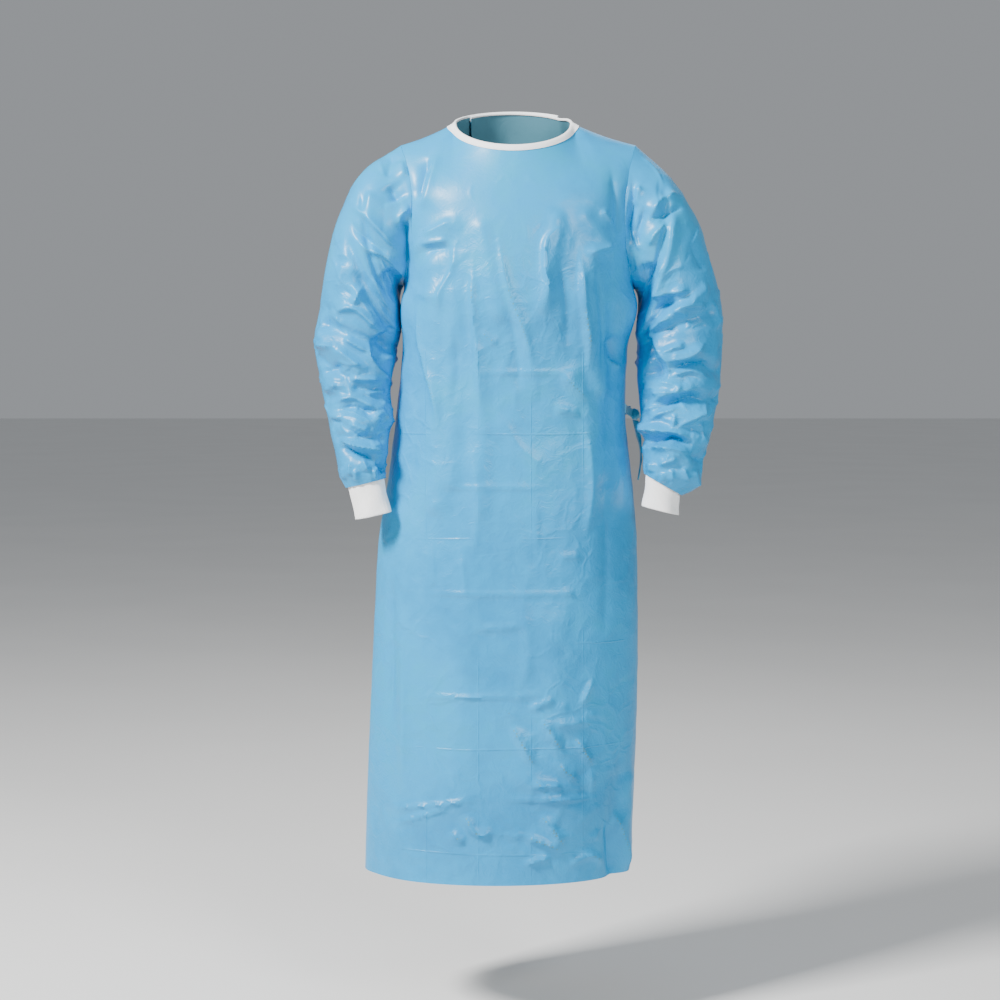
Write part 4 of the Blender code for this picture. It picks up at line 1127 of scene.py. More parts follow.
@dataclass
class NodeTree:
    """Short ways to add nodes to a material."""

    material: Material

    def add(self, kind: str, **settings: object) -> Node:
        """Adds a node and sets its properties.

        Args:
            kind: The node's type.
            settings: Its properties and their values.

        Returns:
            The node.
        """
        node = self.material.node_tree.nodes.new(kind)
        for name, value in settings.items():
            setattr(node, name, value)
        return node

    def join(self, source: Socket, target: Socket) -> None:
        """Links two sockets."""
        self.material.node_tree.links.new(source, target)

    def noise(self, place: Socket, scale: float, detail: float, distortion: float = 0.0) -> Node:
        """A noise texture on the given coordinates.

        Args:
            place: The coordinates.
            scale: How fine it is.
            detail: Its finer layers.
            distortion: How much it swirls.

        Returns:
            The node.
        """
        node = self.add("ShaderNodeTexNoise")
        node.inputs["Scale"].default_value = scale
        node.inputs["Detail"].default_value = detail
        node.inputs["Distortion"].default_value = distortion
        self.join(place, node.inputs["Vector"])
        return node

    def ramp(self, value: Socket, stops: Sequence[tuple[float, Triple]]) -> Node:
        """A colour ramp with the stops given.

        Args:
            value: What picks the colour.
            stops: A place from 0 to 1 and a colour for each.

        Returns:
            The node.
        """
        node = self.add("ShaderNodeValToRGB")
        elements = node.color_ramp.elements
        while len(elements) < len(stops):
            elements.new(0.5)
        for element, (place, colour) in zip(elements, stops):
            element.position = place
            element.color = (*colour, 1.0)
        self.join(value, node.inputs["Fac"])
        return node

    def maths(self, operation: str, first: object, second: object = 0.5, third: object = 0.5) -> Socket:
        """A maths node, each input a socket or a number.

        Args:
            operation: What it does.
            first: Its first input.
            second: Its second input, where it has two.
            third: Its third input, where it has three.

        Returns:
            The result.
        """
        node = self.add("ShaderNodeMath", operation=operation)
        for socket, value in zip(node.inputs, (first, second, third)):
            if isinstance(value, Socket):
                self.join(value, socket)
            else:
                socket.default_value = float(value)
        return node.outputs["Value"]

    def cells(self, place: Socket, scale: float, feature: str = "F1") -> Socket:
        """A pattern of cells.

        Args:
            place: The coordinates.
            scale: How fine it is.
            feature: What the distance is measured to.

        Returns:
            The distance.
        """
        node = self.add("ShaderNodeTexVoronoi", feature=feature)
        node.inputs["Scale"].default_value = scale
        self.join(place, node.inputs["Vector"])
        return node.outputs["Distance"]

    def patches(self, place: Socket, scale: float, start: float, steep: float) -> Socket:
        """A mask in patches with soft edges.

        Args:
            place: The coordinates.
            scale: How fine it is.
            start: The level of the noise where a patch starts.
            steep: How fast it fills from there.

        Returns:
            The mask, from 0 to 1.
        """
        level = self.noise(place, scale, 2.0).outputs["Fac"]
        mask = self.maths("MULTIPLY", self.maths("SUBTRACT", level, start), steep)
        return self.maths("MINIMUM", self.maths("MAXIMUM", mask, 0.0), 1.0)

    def off_line(self, value: Socket, start: float, step: float) -> Socket:
        """The distance from the nearest of some lines at even steps.

        Args:
            value: The place across the lines.
            start: What is added to it first.
            step: From one line to the next.

        Returns:
            The distance.
        """
        share = self.maths("FRACT", self.maths("DIVIDE", self.maths("ADD", value, start), step))
        return self.maths("MULTIPLY", self.maths("ABSOLUTE", self.maths("SUBTRACT", share, 0.5)), step)

    def chart(self) -> tuple[Socket, Socket, Socket]:
        """Coordinates of a point of the cloth.

        Returns:
            Its place in space, across the flat cloth and along it.
        """
        coordinates = self.add("ShaderNodeTexCoord")
        split = self.add("ShaderNodeSeparateXYZ")
        self.join(coordinates.outputs["UV"], split.inputs["Vector"])
        return coordinates.outputs["Object"], split.outputs["X"], split.outputs["Y"]

    def bump(
        self, height: Socket, strength: float, distance: float, below: Optional[Node] = None
    ) -> Node:
        """A bump node, laid over another one if that is given.

        Args:
            height: The relief.
            strength: How much of it counts.
            distance: How high it is at full height.
            below: The bump that it lies on.

        Returns:
            The node.
        """
        node = self.add("ShaderNodeBump")
        node.inputs["Strength"].default_value = strength
        node.inputs["Distance"].default_value = distance
        self.join(height, node.inputs["Height"])
        if below is not None:
            self.join(below.outputs["Normal"], node.inputs["Normal"])
        return node


def new_material(name: str) -> tuple[NodeTree, Node]:
    """A material with its Principled shader, and a helper for its nodes.

    Args:
        name: The material's name.

    Returns:
        The helper, which has the material, and the shader.
    """
    material = bpy.data.materials.new(name)
    material.use_nodes = True
    return NodeTree(material), material.node_tree.nodes["Principled BSDF"]


@dataclass(frozen=True)
class CoatedCloth:
    """Film-coated nonwoven: satin, crinkled, with the bare nonwoven on its inside.

    Attributes:
        deep: Its colour in the deepest clouds.
        light: Its usual colour.
        green: Its colour in the greenest clouds.
        bare: The colour of its side without film.
        calm_from: The height where its relief starts to die down.
        calm_to: The height above which a quarter of it is left.
        fold_down: From one level line of the packing to the next.
        fold_across: From one upright line of the packing to the next.
        fold_top: The height that these lines reach.
        fold_reach: How far from the middle they reach.
    """

    name: str = "coated_nonwoven"
    deep: Triple = (0.000, 0.240, 0.520)
    light: Triple = (0.000, 0.312, 0.640)
    green: Triple = (0.002, 0.335, 0.585)
    bare: Triple = (0.090, 0.260, 0.340)
    roughness: float = 0.37
    roughness_spread: float = 0.22
    bare_roughness: float = 0.62
    coat: float = 0.06
    coat_roughness: float = 0.20
    specular: float = 0.36
    calm_from: float = -0.24
    calm_to: float = -0.13
    fold_down: float = 0.1625
    fold_across: float = 0.081
    fold_width: float = 0.0018
    fold_top: float = -0.36
    fold_reach: float = 0.175

    def make(self) -> Material:
        """Makes the finish.

        Returns:
            The material.
        """
        tree, shader = new_material(self.name)
        place = tree.add("ShaderNodeTexCoord").outputs["Object"]
        cloudy = tree.noise(place, 3.4, 3.0, 0.6)
        mottle = tree.noise(place, 46.0, 4.0)
        tone = tree.maths("MULTIPLY", mottle.outputs["Fac"], 0.25)
        mixed = tree.maths("ADD", tree.maths("MULTIPLY", cloudy.outputs["Fac"], 0.85), tone)
        colour = tree.ramp(mixed, ((0.36, self.deep), (0.56, self.light), (0.74, self.green)))
        mark = tree.add("ShaderNodeAttribute", attribute_name="inner")
        inside = tree.maths("GREATER_THAN", mark.outputs["Fac"], 0.5)
        skin = tree.add("ShaderNodeMix", data_type="RGBA")
        tree.join(inside, skin.inputs["Factor"])
        tree.join(colour.outputs["Color"], skin.inputs["A"])
        skin.inputs["B"].default_value = (*self.bare, 1.0)
        tree.join(skin.outputs["Result"], shader.inputs["Base Color"])
        gloss = tree.noise(place, 7.0, 5.0)
        least = self.roughness - self.roughness_spread / 2
        rough = tree.maths("MULTIPLY_ADD", gloss.outputs["Fac"], self.roughness_spread, least)
        rough = tree.maths("MAXIMUM", rough, tree.maths("MULTIPLY", inside, self.bare_roughness))
        tree.join(rough, shader.inputs["Roughness"])
        tree.join(self.relief(tree, place).outputs["Normal"], shader.inputs["Normal"])
        shader.inputs["Coat Weight"].default_value = self.coat
        shader.inputs["Coat Roughness"].default_value = self.coat_roughness
        shader.inputs["Specular IOR Level"].default_value = self.specular
        return tree.material

    def relief(self, tree: NodeTree, place: Socket) -> Node:
        """Facets and fine crinkles of the film, and the nonwoven's bonded dots.

        Args:
            tree: The material's nodes.
            place: The coordinates.

        Returns:
            The last of the bump nodes.
        """
        warp = tree.noise(place, 11.0, 2.0)
        shifted = tree.add("ShaderNodeMix", data_type="RGBA", blend_type="LINEAR_LIGHT")
        shifted.inputs["Factor"].default_value = 0.055
        tree.join(place, shifted.inputs["A"])
        tree.join(warp.outputs["Color"], shifted.inputs["B"])
        facets = tree.cells(shifted.outputs["Result"], 26.0)
        crinkle = tree.noise(place, 62.0, 3.0, 1.2)
        ridge = tree.maths("ABSOLUTE", tree.maths("SUBTRACT", crinkle.outputs["Fac"], 0.5))
        split = tree.add("ShaderNodeSeparateXYZ")
        tree.join(place, split.inputs["Vector"])
        span = tree.add("ShaderNodeMapRange")
        tree.join(split.outputs["Z"], span.inputs["Value"])
        ends = {"From Min": self.calm_from, "From Max": self.calm_to, "To Min": 1.0, "To Max": 0.25}
        for name, value in ends.items():
            span.inputs[name].default_value = value
        calm = span.outputs["Result"]
        crumple = self.crumple(tree, shifted.outputs["Result"], place, calm)
        last = tree.bump(tree.maths("MULTIPLY", facets, calm), 0.55, 0.0035)
        last = tree.bump(tree.maths("MULTIPLY", ridge, calm), 0.45, 0.0030, last)
        last = tree.bump(crumple, 0.34, 0.0016, last)
        last = tree.bump(self.packing(tree, split, place), 0.65, 0.0010, last)
        return tree.bump(tree.cells(place, 900.0), 0.25, 0.00015, last)

    def crumple(self, tree: NodeTree, shifted: Socket, place: Socket, calm: Socket) -> Socket:
        """Thin sharp lines between facets, in some places only.

        Args:
            tree: The material's nodes.
            shifted: The coordinates, pushed about.
            place: The coordinates.
            calm: How much relief there is at a height.

        Returns:
            The height.
        """
        cells = tree.cells(shifted, 17.0, "DISTANCE_TO_EDGE")
        line = tree.maths("SUBTRACT", 1.0, tree.maths("DIVIDE", cells, 0.09))
        line = tree.maths("MAXIMUM", line, 0.0)
        line = tree.maths("MULTIPLY", line, tree.patches(place, 6.5, 0.47, 7.0))
        return tree.maths("MULTIPLY", line, calm)

    def packing(self, tree: NodeTree, split: Node, place: Socket) -> Socket:
        """Straight lines where the gown was folded in its pack, worn away in places.

        Args:
            tree: The material's nodes.
            split: The coordinates, one by one.
            place: The coordinates.

        Returns:
            The height.
        """
        bend = tree.maths("MULTIPLY", tree.noise(place, 4.0, 1.0).outputs["Fac"], 0.012)
        level = tree.off_line(tree.maths("ADD", split.outputs["Z"], bend), 1.213, self.fold_down)
        upright = tree.off_line(split.outputs["X"], 0.50, self.fold_across)
        gap = tree.maths("MINIMUM", level, tree.maths("ADD", upright, 0.0004))
        line = tree.maths("SUBTRACT", 1.0, tree.maths("DIVIDE", gap, self.fold_width))
        line = tree.maths("MAXIMUM", line, 0.0)
        below = tree.maths("LESS_THAN", split.outputs["Z"], self.fold_top)
        body = tree.maths("LESS_THAN", tree.maths("ABSOLUTE", split.outputs["X"]), self.fold_reach)
        line = tree.maths("MULTIPLY", line, tree.maths("MULTIPLY", below, body))
        return tree.maths("MULTIPLY", line, tree.patches(place, 9.0, 0.46, 8.0))


@dataclass(frozen=True)
class TieCloth:
    """The gown's cloth folded into a flat tie, with a stitched line near each edge."""

    name: str = "tie_cloth"
    colour: Triple = (0.045, 0.395, 0.560)
    pale: Triple = (0.085, 0.480, 0.640)
    roughness: float = 0.38
    width: float = 0.014
    stitch_inset: float = 0.0022
    stitch_length: float = 0.0032
    thread_half: float = 0.00035
    sheen: float = 0.1

    def make(self) -> Material:
        """Makes the finish.

        Returns:
            The material.
        """
        tree, shader = new_material(self.name)
        place, across, along = tree.chart()
        mottle = tree.noise(place, 60.0, 4.0)
        colour = tree.ramp(mottle.outputs["Fac"], ((0.35, self.colour), (0.7, self.pale)))
        off = tree.maths("ABSOLUTE", tree.maths("SUBTRACT", across, self.width / 2))
        line = tree.maths("ABSOLUTE", tree.maths("SUBTRACT", off, self.width / 2 - self.stitch_inset))
        thread = tree.maths("LESS_THAN", line, self.thread_half)
        beat = tree.maths("FRACT", tree.maths("DIVIDE", along, self.stitch_length))
        thread = tree.maths("MULTIPLY", thread, tree.maths("LESS_THAN", beat, 0.72))
        tree.join(colour.outputs["Color"], shader.inputs["Base Color"])
        shader.inputs["Roughness"].default_value = self.roughness
        shader.inputs["Sheen Weight"].default_value = self.sheen
        crinkle = tree.noise(place, 140.0, 3.0, 0.8)
        first = tree.bump(crinkle.outputs["Fac"], 0.5, 0.0009)
        second = tree.bump(thread, 0.6, 0.0003, first)
        tree.join(second.outputs["Normal"], shader.inputs["Normal"])
        return tree.material


@dataclass(frozen=True)
class RibKnit:
    """White rib knit: its ribs are in the mesh, its stitches in the relief, and painted shade darkens the
    grooves between the ribs.
    """

    name: str = "cuff_knit"
    colour: Triple = (0.97, 0.97, 0.96)
    # Painted shade: the knit's colour at the bottom of each groove between ribs
    painted_groove_shade: Triple = (0.84, 0.86, 0.87)
    rib: float = 0.0015
    course: float = 0.0013
    soil: float = 0.04
    roughness: float = 0.88
    sheen: float = 0.35
    sheen_roughness: float = 0.5

    def make(self) -> Material:
        """Makes the finish.

        Returns:
            The material.
        """
        tree, shader = new_material(self.name)
        place, across, along = tree.chart()
        share = tree.maths("FRACT", tree.maths("DIVIDE", across, self.rib))
        slant = tree.maths("ABSOLUTE", tree.maths("SUBTRACT", share, 0.5))
        rise = tree.maths("ADD", tree.maths("DIVIDE", along, self.course), slant)
        loop = tree.maths("SINE", tree.maths("MULTIPLY", rise, 2 * math.pi))
        edge = tree.maths("MULTIPLY", slant, -1.2)
        height = tree.maths("ADD", tree.maths("MULTIPLY", loop, 0.35), edge)
        fuzz = tree.noise(place, 700.0, 3.0)
        mottle = tree.noise(place, 55.0, 3.0)
        # Painted shade: the colour darkens from the middle of each rib to the groove beside it
        depth = tree.maths("MULTIPLY_ADD", slant, -0.9, 0.75)
        shade = tree.ramp(depth, ((0.0, self.painted_groove_shade), (0.55, self.colour)))
        soil = tree.add("ShaderNodeMix", data_type="RGBA", blend_type="MULTIPLY")
        soil.inputs["Factor"].default_value = self.soil
        tree.join(shade.outputs["Color"], soil.inputs["A"])
        tree.join(mottle.outputs["Color"], soil.inputs["B"])
        tree.join(soil.outputs["Result"], shader.inputs["Base Color"])
        shader.inputs["Roughness"].default_value = self.roughness
        shader.inputs["Sheen Weight"].default_value = self.sheen
        shader.inputs["Sheen Roughness"].default_value = self.sheen_roughness
        first = tree.bump(height, 0.55, 0.0004)
        second = tree.bump(fuzz.outputs["Fac"], 0.3, 0.0002, first)
        tree.join(second.outputs["Normal"], shader.inputs["Normal"])
        return tree.material


@dataclass(frozen=True)
class BindingTape:
    """White matt tape with a woven face and a row of stitches."""

    name: str = "binding_tape"
    colour: Triple = (0.93, 0.95, 0.96)
    shade: float = 0.93
    yarn: float = 0.0006
    stitch_at: float = 0.0022
    stitch_length: float = 0.0030
    thread_half: float = 0.0004
    roughness: float = 0.70
    sheen: float = 0.2

    def make(self) -> Material:
        """Makes the finish.

        Returns:
            The material.
        """
        tree, shader = new_material(self.name)
        place, across, along = tree.chart()
        warp = tree.maths("SINE", tree.maths("MULTIPLY", across, 2 * math.pi / self.yarn))
        weft = tree.maths("SINE", tree.maths("MULTIPLY", along, 2 * math.pi / self.yarn))
        weave = tree.maths("MULTIPLY", warp, weft)
        line = tree.maths("ABSOLUTE", tree.maths("SUBTRACT", across, self.stitch_at))
        beat = tree.maths("FRACT", tree.maths("DIVIDE", along, self.stitch_length))
        run = tree.maths("LESS_THAN", line, self.thread_half)
        thread = tree.maths("MULTIPLY", run, tree.maths("LESS_THAN", beat, 0.7))
        mottle = tree.noise(place, 40.0, 3.0)
        low = tuple(self.shade * part for part in self.colour)
        colour = tree.ramp(mottle.outputs["Fac"], ((0.3, low), (0.7, self.colour)))
        tree.join(colour.outputs["Color"], shader.inputs["Base Color"])
        shader.inputs["Roughness"].default_value = self.roughness
        shader.inputs["Sheen Weight"].default_value = self.sheen
        pull = tree.bump(run, -0.5, 0.0003)
        sewn = tree.bump(thread, 0.7, 0.0004, pull)
        woven = tree.bump(weave, 0.25, 0.0001, sewn)
        tree.join(woven.outputs["Normal"], shader.inputs["Normal"])
        return tree.material


@dataclass
class GownCloth:
    """The front, the two backs and the two sleeves, which share their seams."""

    form: BodyForm
    gain: float = 2.1
    seam_gap: float = 0.0003

    def small_front(self) -> CreaseField:
        """Small creases of the front: upright above, in all directions below.

        Returns:
            Their field.
        """
        groups = (
            Scatter(11, 70, (-0.16, -0.60), (0.16, -0.16), (18, 60), (0.4, 1.1), 84, 22),
            Scatter(12, 90, (-0.20, -1.17), (0.18, -0.58), (15, 55), (0.3, 1.0), 60, 45),
            Scatter(13, 60, (-0.01, -1.14), (0.13, -0.90), (12, 40), (0.6, 1.6), -45, 40),
            Scatter(14, 30, (-0.15, -0.22), (0.16, -0.06), (10, 35), (0.2, 0.6), 20, 50),
        )
        return CreaseField([item for group in groups for item in group.creases()])

    def small_back(self) -> CreaseField:
        """Small creases of the backs.

        Returns:
            Their field.
        """
        groups = (
            Scatter(21, 90, (-0.17, -0.62), (0.17, -0.18), (18, 60), (0.4, 1.2), 86, 22),
            Scatter(22, 130, (-0.20, -1.17), (0.18, -0.58), (15, 60), (0.3, 1.1), 70, 45),
            Scatter(23, 30, (-0.15, -0.22), (0.16, -0.04), (10, 35), (0.2, 0.6), 20, 50),
        )
        return CreaseField([item for group in groups for item in group.creases()])

    def small_sleeve(self, seed: int) -> CreaseField:
        """Small creases of a sleeve, more of them round it than down it.

        Args:
            seed: Where the picks start.

        Returns:
            Their field.
        """
        groups = (
            Scatter(seed, 70, (0.0, 0.03), (0.40, 0.30), (16, 55), (0.8, 2.6), 20, 30),
            Scatter(seed + 1, 110, (0.0, 0.26), (0.40, 0.54), (14, 50), (1.0, 3.4), 5, 28),
        )
        return CreaseField([item for group in groups for item in group.creases()])

    def build(self) -> dict[str, Piece]:
        """Points and normals of each piece by node, and whether it is a tube.

        Returns:
            The pieces.
        """
        form = self.form
        back_u = form.back_columns()
        inner_u = -back_u[::-1]
        lap_in = form.lap_step * ease(-inner_u, -form.lap_start, -form.lap_full)
        behind = (BACK_SOFT, CreaseField(BACK_CREASES, self.gain), self.small_back())
        ahead = (FRONT_SOFT, CreaseField(FRONT_CREASES, self.gain), self.small_front())
        front = form.panel(form.front_columns(), Facing.FRONT, *ahead)
        outer = form.panel(back_u, Facing.BACK, *behind)
        inner = form.panel(inner_u, Facing.BACK, *behind, lap_in)
        armpit = form.rows_below
        stations = form.stations()
        share = (form.top - stations[armpit:]) / (form.top - stations[armpit])
        angles = np.concatenate([share[::-1] * math.pi, 2 * math.pi - share[1:-1] * math.pi])
        grids = {"front": front, "back_outer": outer, "back_inner": inner}
        tubes = {}
        for name, side, rows, soft, creases, lean_in, behind_grid in (
            ("sleeve_right", -1, RIGHT_SLEEVE_ROWS, RIGHT_SLEEVE_SOFT, RIGHT_SLEEVE_CREASES, 0.0010, outer),
            ("sleeve_left", 1, LEFT_SLEEVE_ROWS, LEFT_SLEEVE_SOFT, LEFT_SLEEVE_CREASES, 0.0022, inner),
        ):
            sleeve = SleeveForm(side, rows, soft, creases, SLEEVE_BACK_CREASES, lean_in=lean_in)
            column = -1 if side > 0 else 0
            loop = np.concatenate([front[armpit:, column][::-1], behind_grid[armpit + 1 : -1, column]])
            tubes[name] = sleeve.surface(loop, angles, self.small_sleeve(40 + 5 * side))
        return self.finish(grids, tubes)

    def finish(self, grids: dict[str, Array], tubes: dict[str, Array]) -> dict[str, Piece]:
        """Works out normals, shares them at the seams and parts the seams.

        Args:
            grids: Points of each flat piece.
            tubes: Points of each sleeve.

        Returns:
            Points and normals of each piece, and whether it is a tube.
        """
        pieces = {}
        for name, points in grids.items():
            normals = grid_normals(points)
            wanted = -1 if name == "front" else 1
            pieces[name] = (points, normals * np.sign(normals[..., 1].mean()) * wanted, False)
        for name, points in tubes.items():
            normals = grid_normals(points, tube=True)
            outward = points - points.mean(axis=1, keepdims=True)
            pieces[name] = (points, normals * np.sign((outward * normals).sum(axis=-1).mean()), True)
        self.share(pieces)
        for name, (points, _, tube) in pieces.items():
            self.part(name, points, tube)
        return pieces

    def share(self, pieces: dict[str, Piece]) -> None:
        """Gives points that pieces have in common one way in, as long as a mitre needs.

        Args:
            pieces: The pieces, whose normals this changes.
        """
        met: dict[tuple, list[Array]] = {}
        edges = []
        sides = [(slice(None), 0), (slice(None), -1), (-1, slice(None))]
        for points, normals, tube in pieces.values():
            for rows, columns in [(0, slice(None))] if tube else sides:
                spots, ways = points[rows, columns], normals[rows, columns]
                keys = [tuple(key) for key in np.round(spots * 1e5).astype(int)]
                for key, way in zip(keys, ways):
                    met.setdefault((key, tube), []).append(way.copy())
                edges.append((ways, keys))
        for ways, keys in edges:
            for i, key in enumerate(keys):
                kinds = [met[(key, tube)] for tube in (False, True) if (key, tube) in met]
                groups = [unit(np.mean(kind, axis=0)) for kind in kinds]
                mean = unit(np.sum(groups, axis=0))
                ways[i] = mean / max(0.75, float(np.mean([group @ mean for group in groups])))

    def part(self, name: str, points: Array, tube: bool) -> None:
        """Moves sewn edges half a gap back from their seams.

        Args:
            name: The piece's node.
            points: Its points, which this changes.
            tube: Whether it is a tube.
        """
        form = self.form
        half = self.seam_gap / 2
        if tube:
            points[0] += unit(points[1] - points[0]) * half
            return
        if name in ("front", "back_outer"):
            points[:, 0] += unit(points[:, 1] - points[:, 0]) * half
        if name in ("front", "back_inner"):
            points[:, -1] += unit(points[:, -2] - points[:, -1]) * half
        columns = {
            "front": form.front_columns(),
            "back_outer": form.back_columns(),
            "back_inner": form.back_columns()[::-1],
        }[name]
        sewn = np.abs(columns) >= form.neck_share - 1e-6
        points[-1][sewn] += unit(points[-2] - points[-1])[sewn] * half


@dataclass
class Cuff:
    """A rib-knit tube, tucked into the end of a sleeve."""

    sleeve: SleeveForm
    edge: SleeveRow
    facts: SheetFacts
    ribs: int = 96
    rib_depth: float = 0.00016
    points_per_rib: int = 5
    rows: int = 22
    tuck: float = 0.007
    set_in: float = 0.0021
    knit: float = 0.0018

    def grid(self) -> tuple[Array, Array]:
        """Points and normals of the outside, from inside the sleeve down.

        Returns:
            Both, by row and column.
        """
        angles = np.linspace(0, 2 * math.pi, self.ribs * self.points_per_rib, endpoint=False)
        end = self.sleeve.ring(self.sleeve.rows[-1], angles)
        above = self.sleeve.ring(self.sleeve.rows[-2], angles)
        inward = unit(end.mean(axis=0) - end)
        end = end + inward * self.set_in
        tucked = end + unit(above - self.sleeve.ring(self.sleeve.rows[-1], angles)) * self.tuck
        last = self.sleeve.ring(self.edge, angles)
        t = np.linspace(0, 1, self.rows)[:, None, None]
        body = end + (last - end) * t
        down = t[..., 0] * np.ones_like(angles)
        # The knit draws in a little below the seam and ripples at its edge
        waist = -0.0011 * np.sin(math.pi * down) ** 2
        ripple = 0.0007 * np.sin(5 * angles[None, :] + 1.3) * down**2
        slack = 0.0008 * np.sin(3 * angles[None, :] + 4 * down) * np.sin(math.pi * down)
        ribs = self.rib_depth * (np.cos(self.ribs * angles)[None, :] - 1)
        way = unit(body - body.mean(axis=1, keepdims=True))
        body = body + way * (waist + ripple + slack)[..., None]
        hem = body[-1] - way[-1] * 0.0006 + (body[-1] - body[-2]) * 0.25
        smooth = np.concatenate([tucked[None], body, hem[None]])
        normals = grid_normals(smooth, tube=True)
        normals *= np.sign(((smooth - smooth.mean(axis=1, keepdims=True)) * normals).sum(axis=-1).mean())
        relief = np.concatenate([ribs[:1], np.repeat(ribs, self.rows + 1, axis=0)])
        return smooth + normals * relief[..., None], normals

    def build(self, material: Material) -> bpy.types.Object:
        """Makes the cuff.

        Args:
            material: Its finish.

        Returns:
            The object.
        """
        points, normals = self.grid()
        piece = ClothPiece(self.facts, points, normals, tube=True, cloth=self.knit)
        return piece.declare(piece.make(material))


@dataclass
class Loft:
    """A closed solid through sections that each have the same number of points."""

    facts: SheetFacts
    sections: Array
    chart_across: Array

    def build(self, material: Material) -> bpy.types.Object:
        """Makes the piece, its ends closed.

        Args:
            material: Its finish.

        Returns:
            The object.
        """
        steps, count = self.sections.shape[:2]
        index = np.arange(steps * count).reshape(steps, count)
        turned = np.roll(index, -1, axis=1)
        sides = np.stack([index[:-1], turned[:-1], turned[1:], index[1:]], axis=-1).reshape(-1, 4)
        half = count // 2
        rungs = [(j, j + 1, count - 2 - j, count - 1 - j) for j in range(half - 1)]
        first = np.array([[index[0, k] for k in rung][::-1] for rung in rungs])
        last = np.array([[index[-1, k] for k in rung] for rung in rungs])
        faces = np.concatenate([sides, first, last])
        flat = self.sections.reshape(-1, 3)
        middle = self.sections.mean(axis=1)
        centre = np.repeat(middle[:-1], count, axis=0)
        normal = np.cross(flat[sides[:, 2]] - flat[sides[:, 0]], flat[sides[:, 3]] - flat[sides[:, 1]])
        away = flat[sides[:, 0]] - centre
        if (normal * away).sum() < 0:
            faces = faces[:, ::-1]
        run = np.concatenate([[0], np.cumsum(np.linalg.norm(np.diff(middle, axis=0), axis=1))])
        chart = np.stack(np.broadcast_arrays(self.chart_across[None, :], run[:, None]), axis=-1)
        made = make_mesh(self.facts.node, flat, faces, material, chart.reshape(-1, 2))
        declare(made, self.facts)
        return made


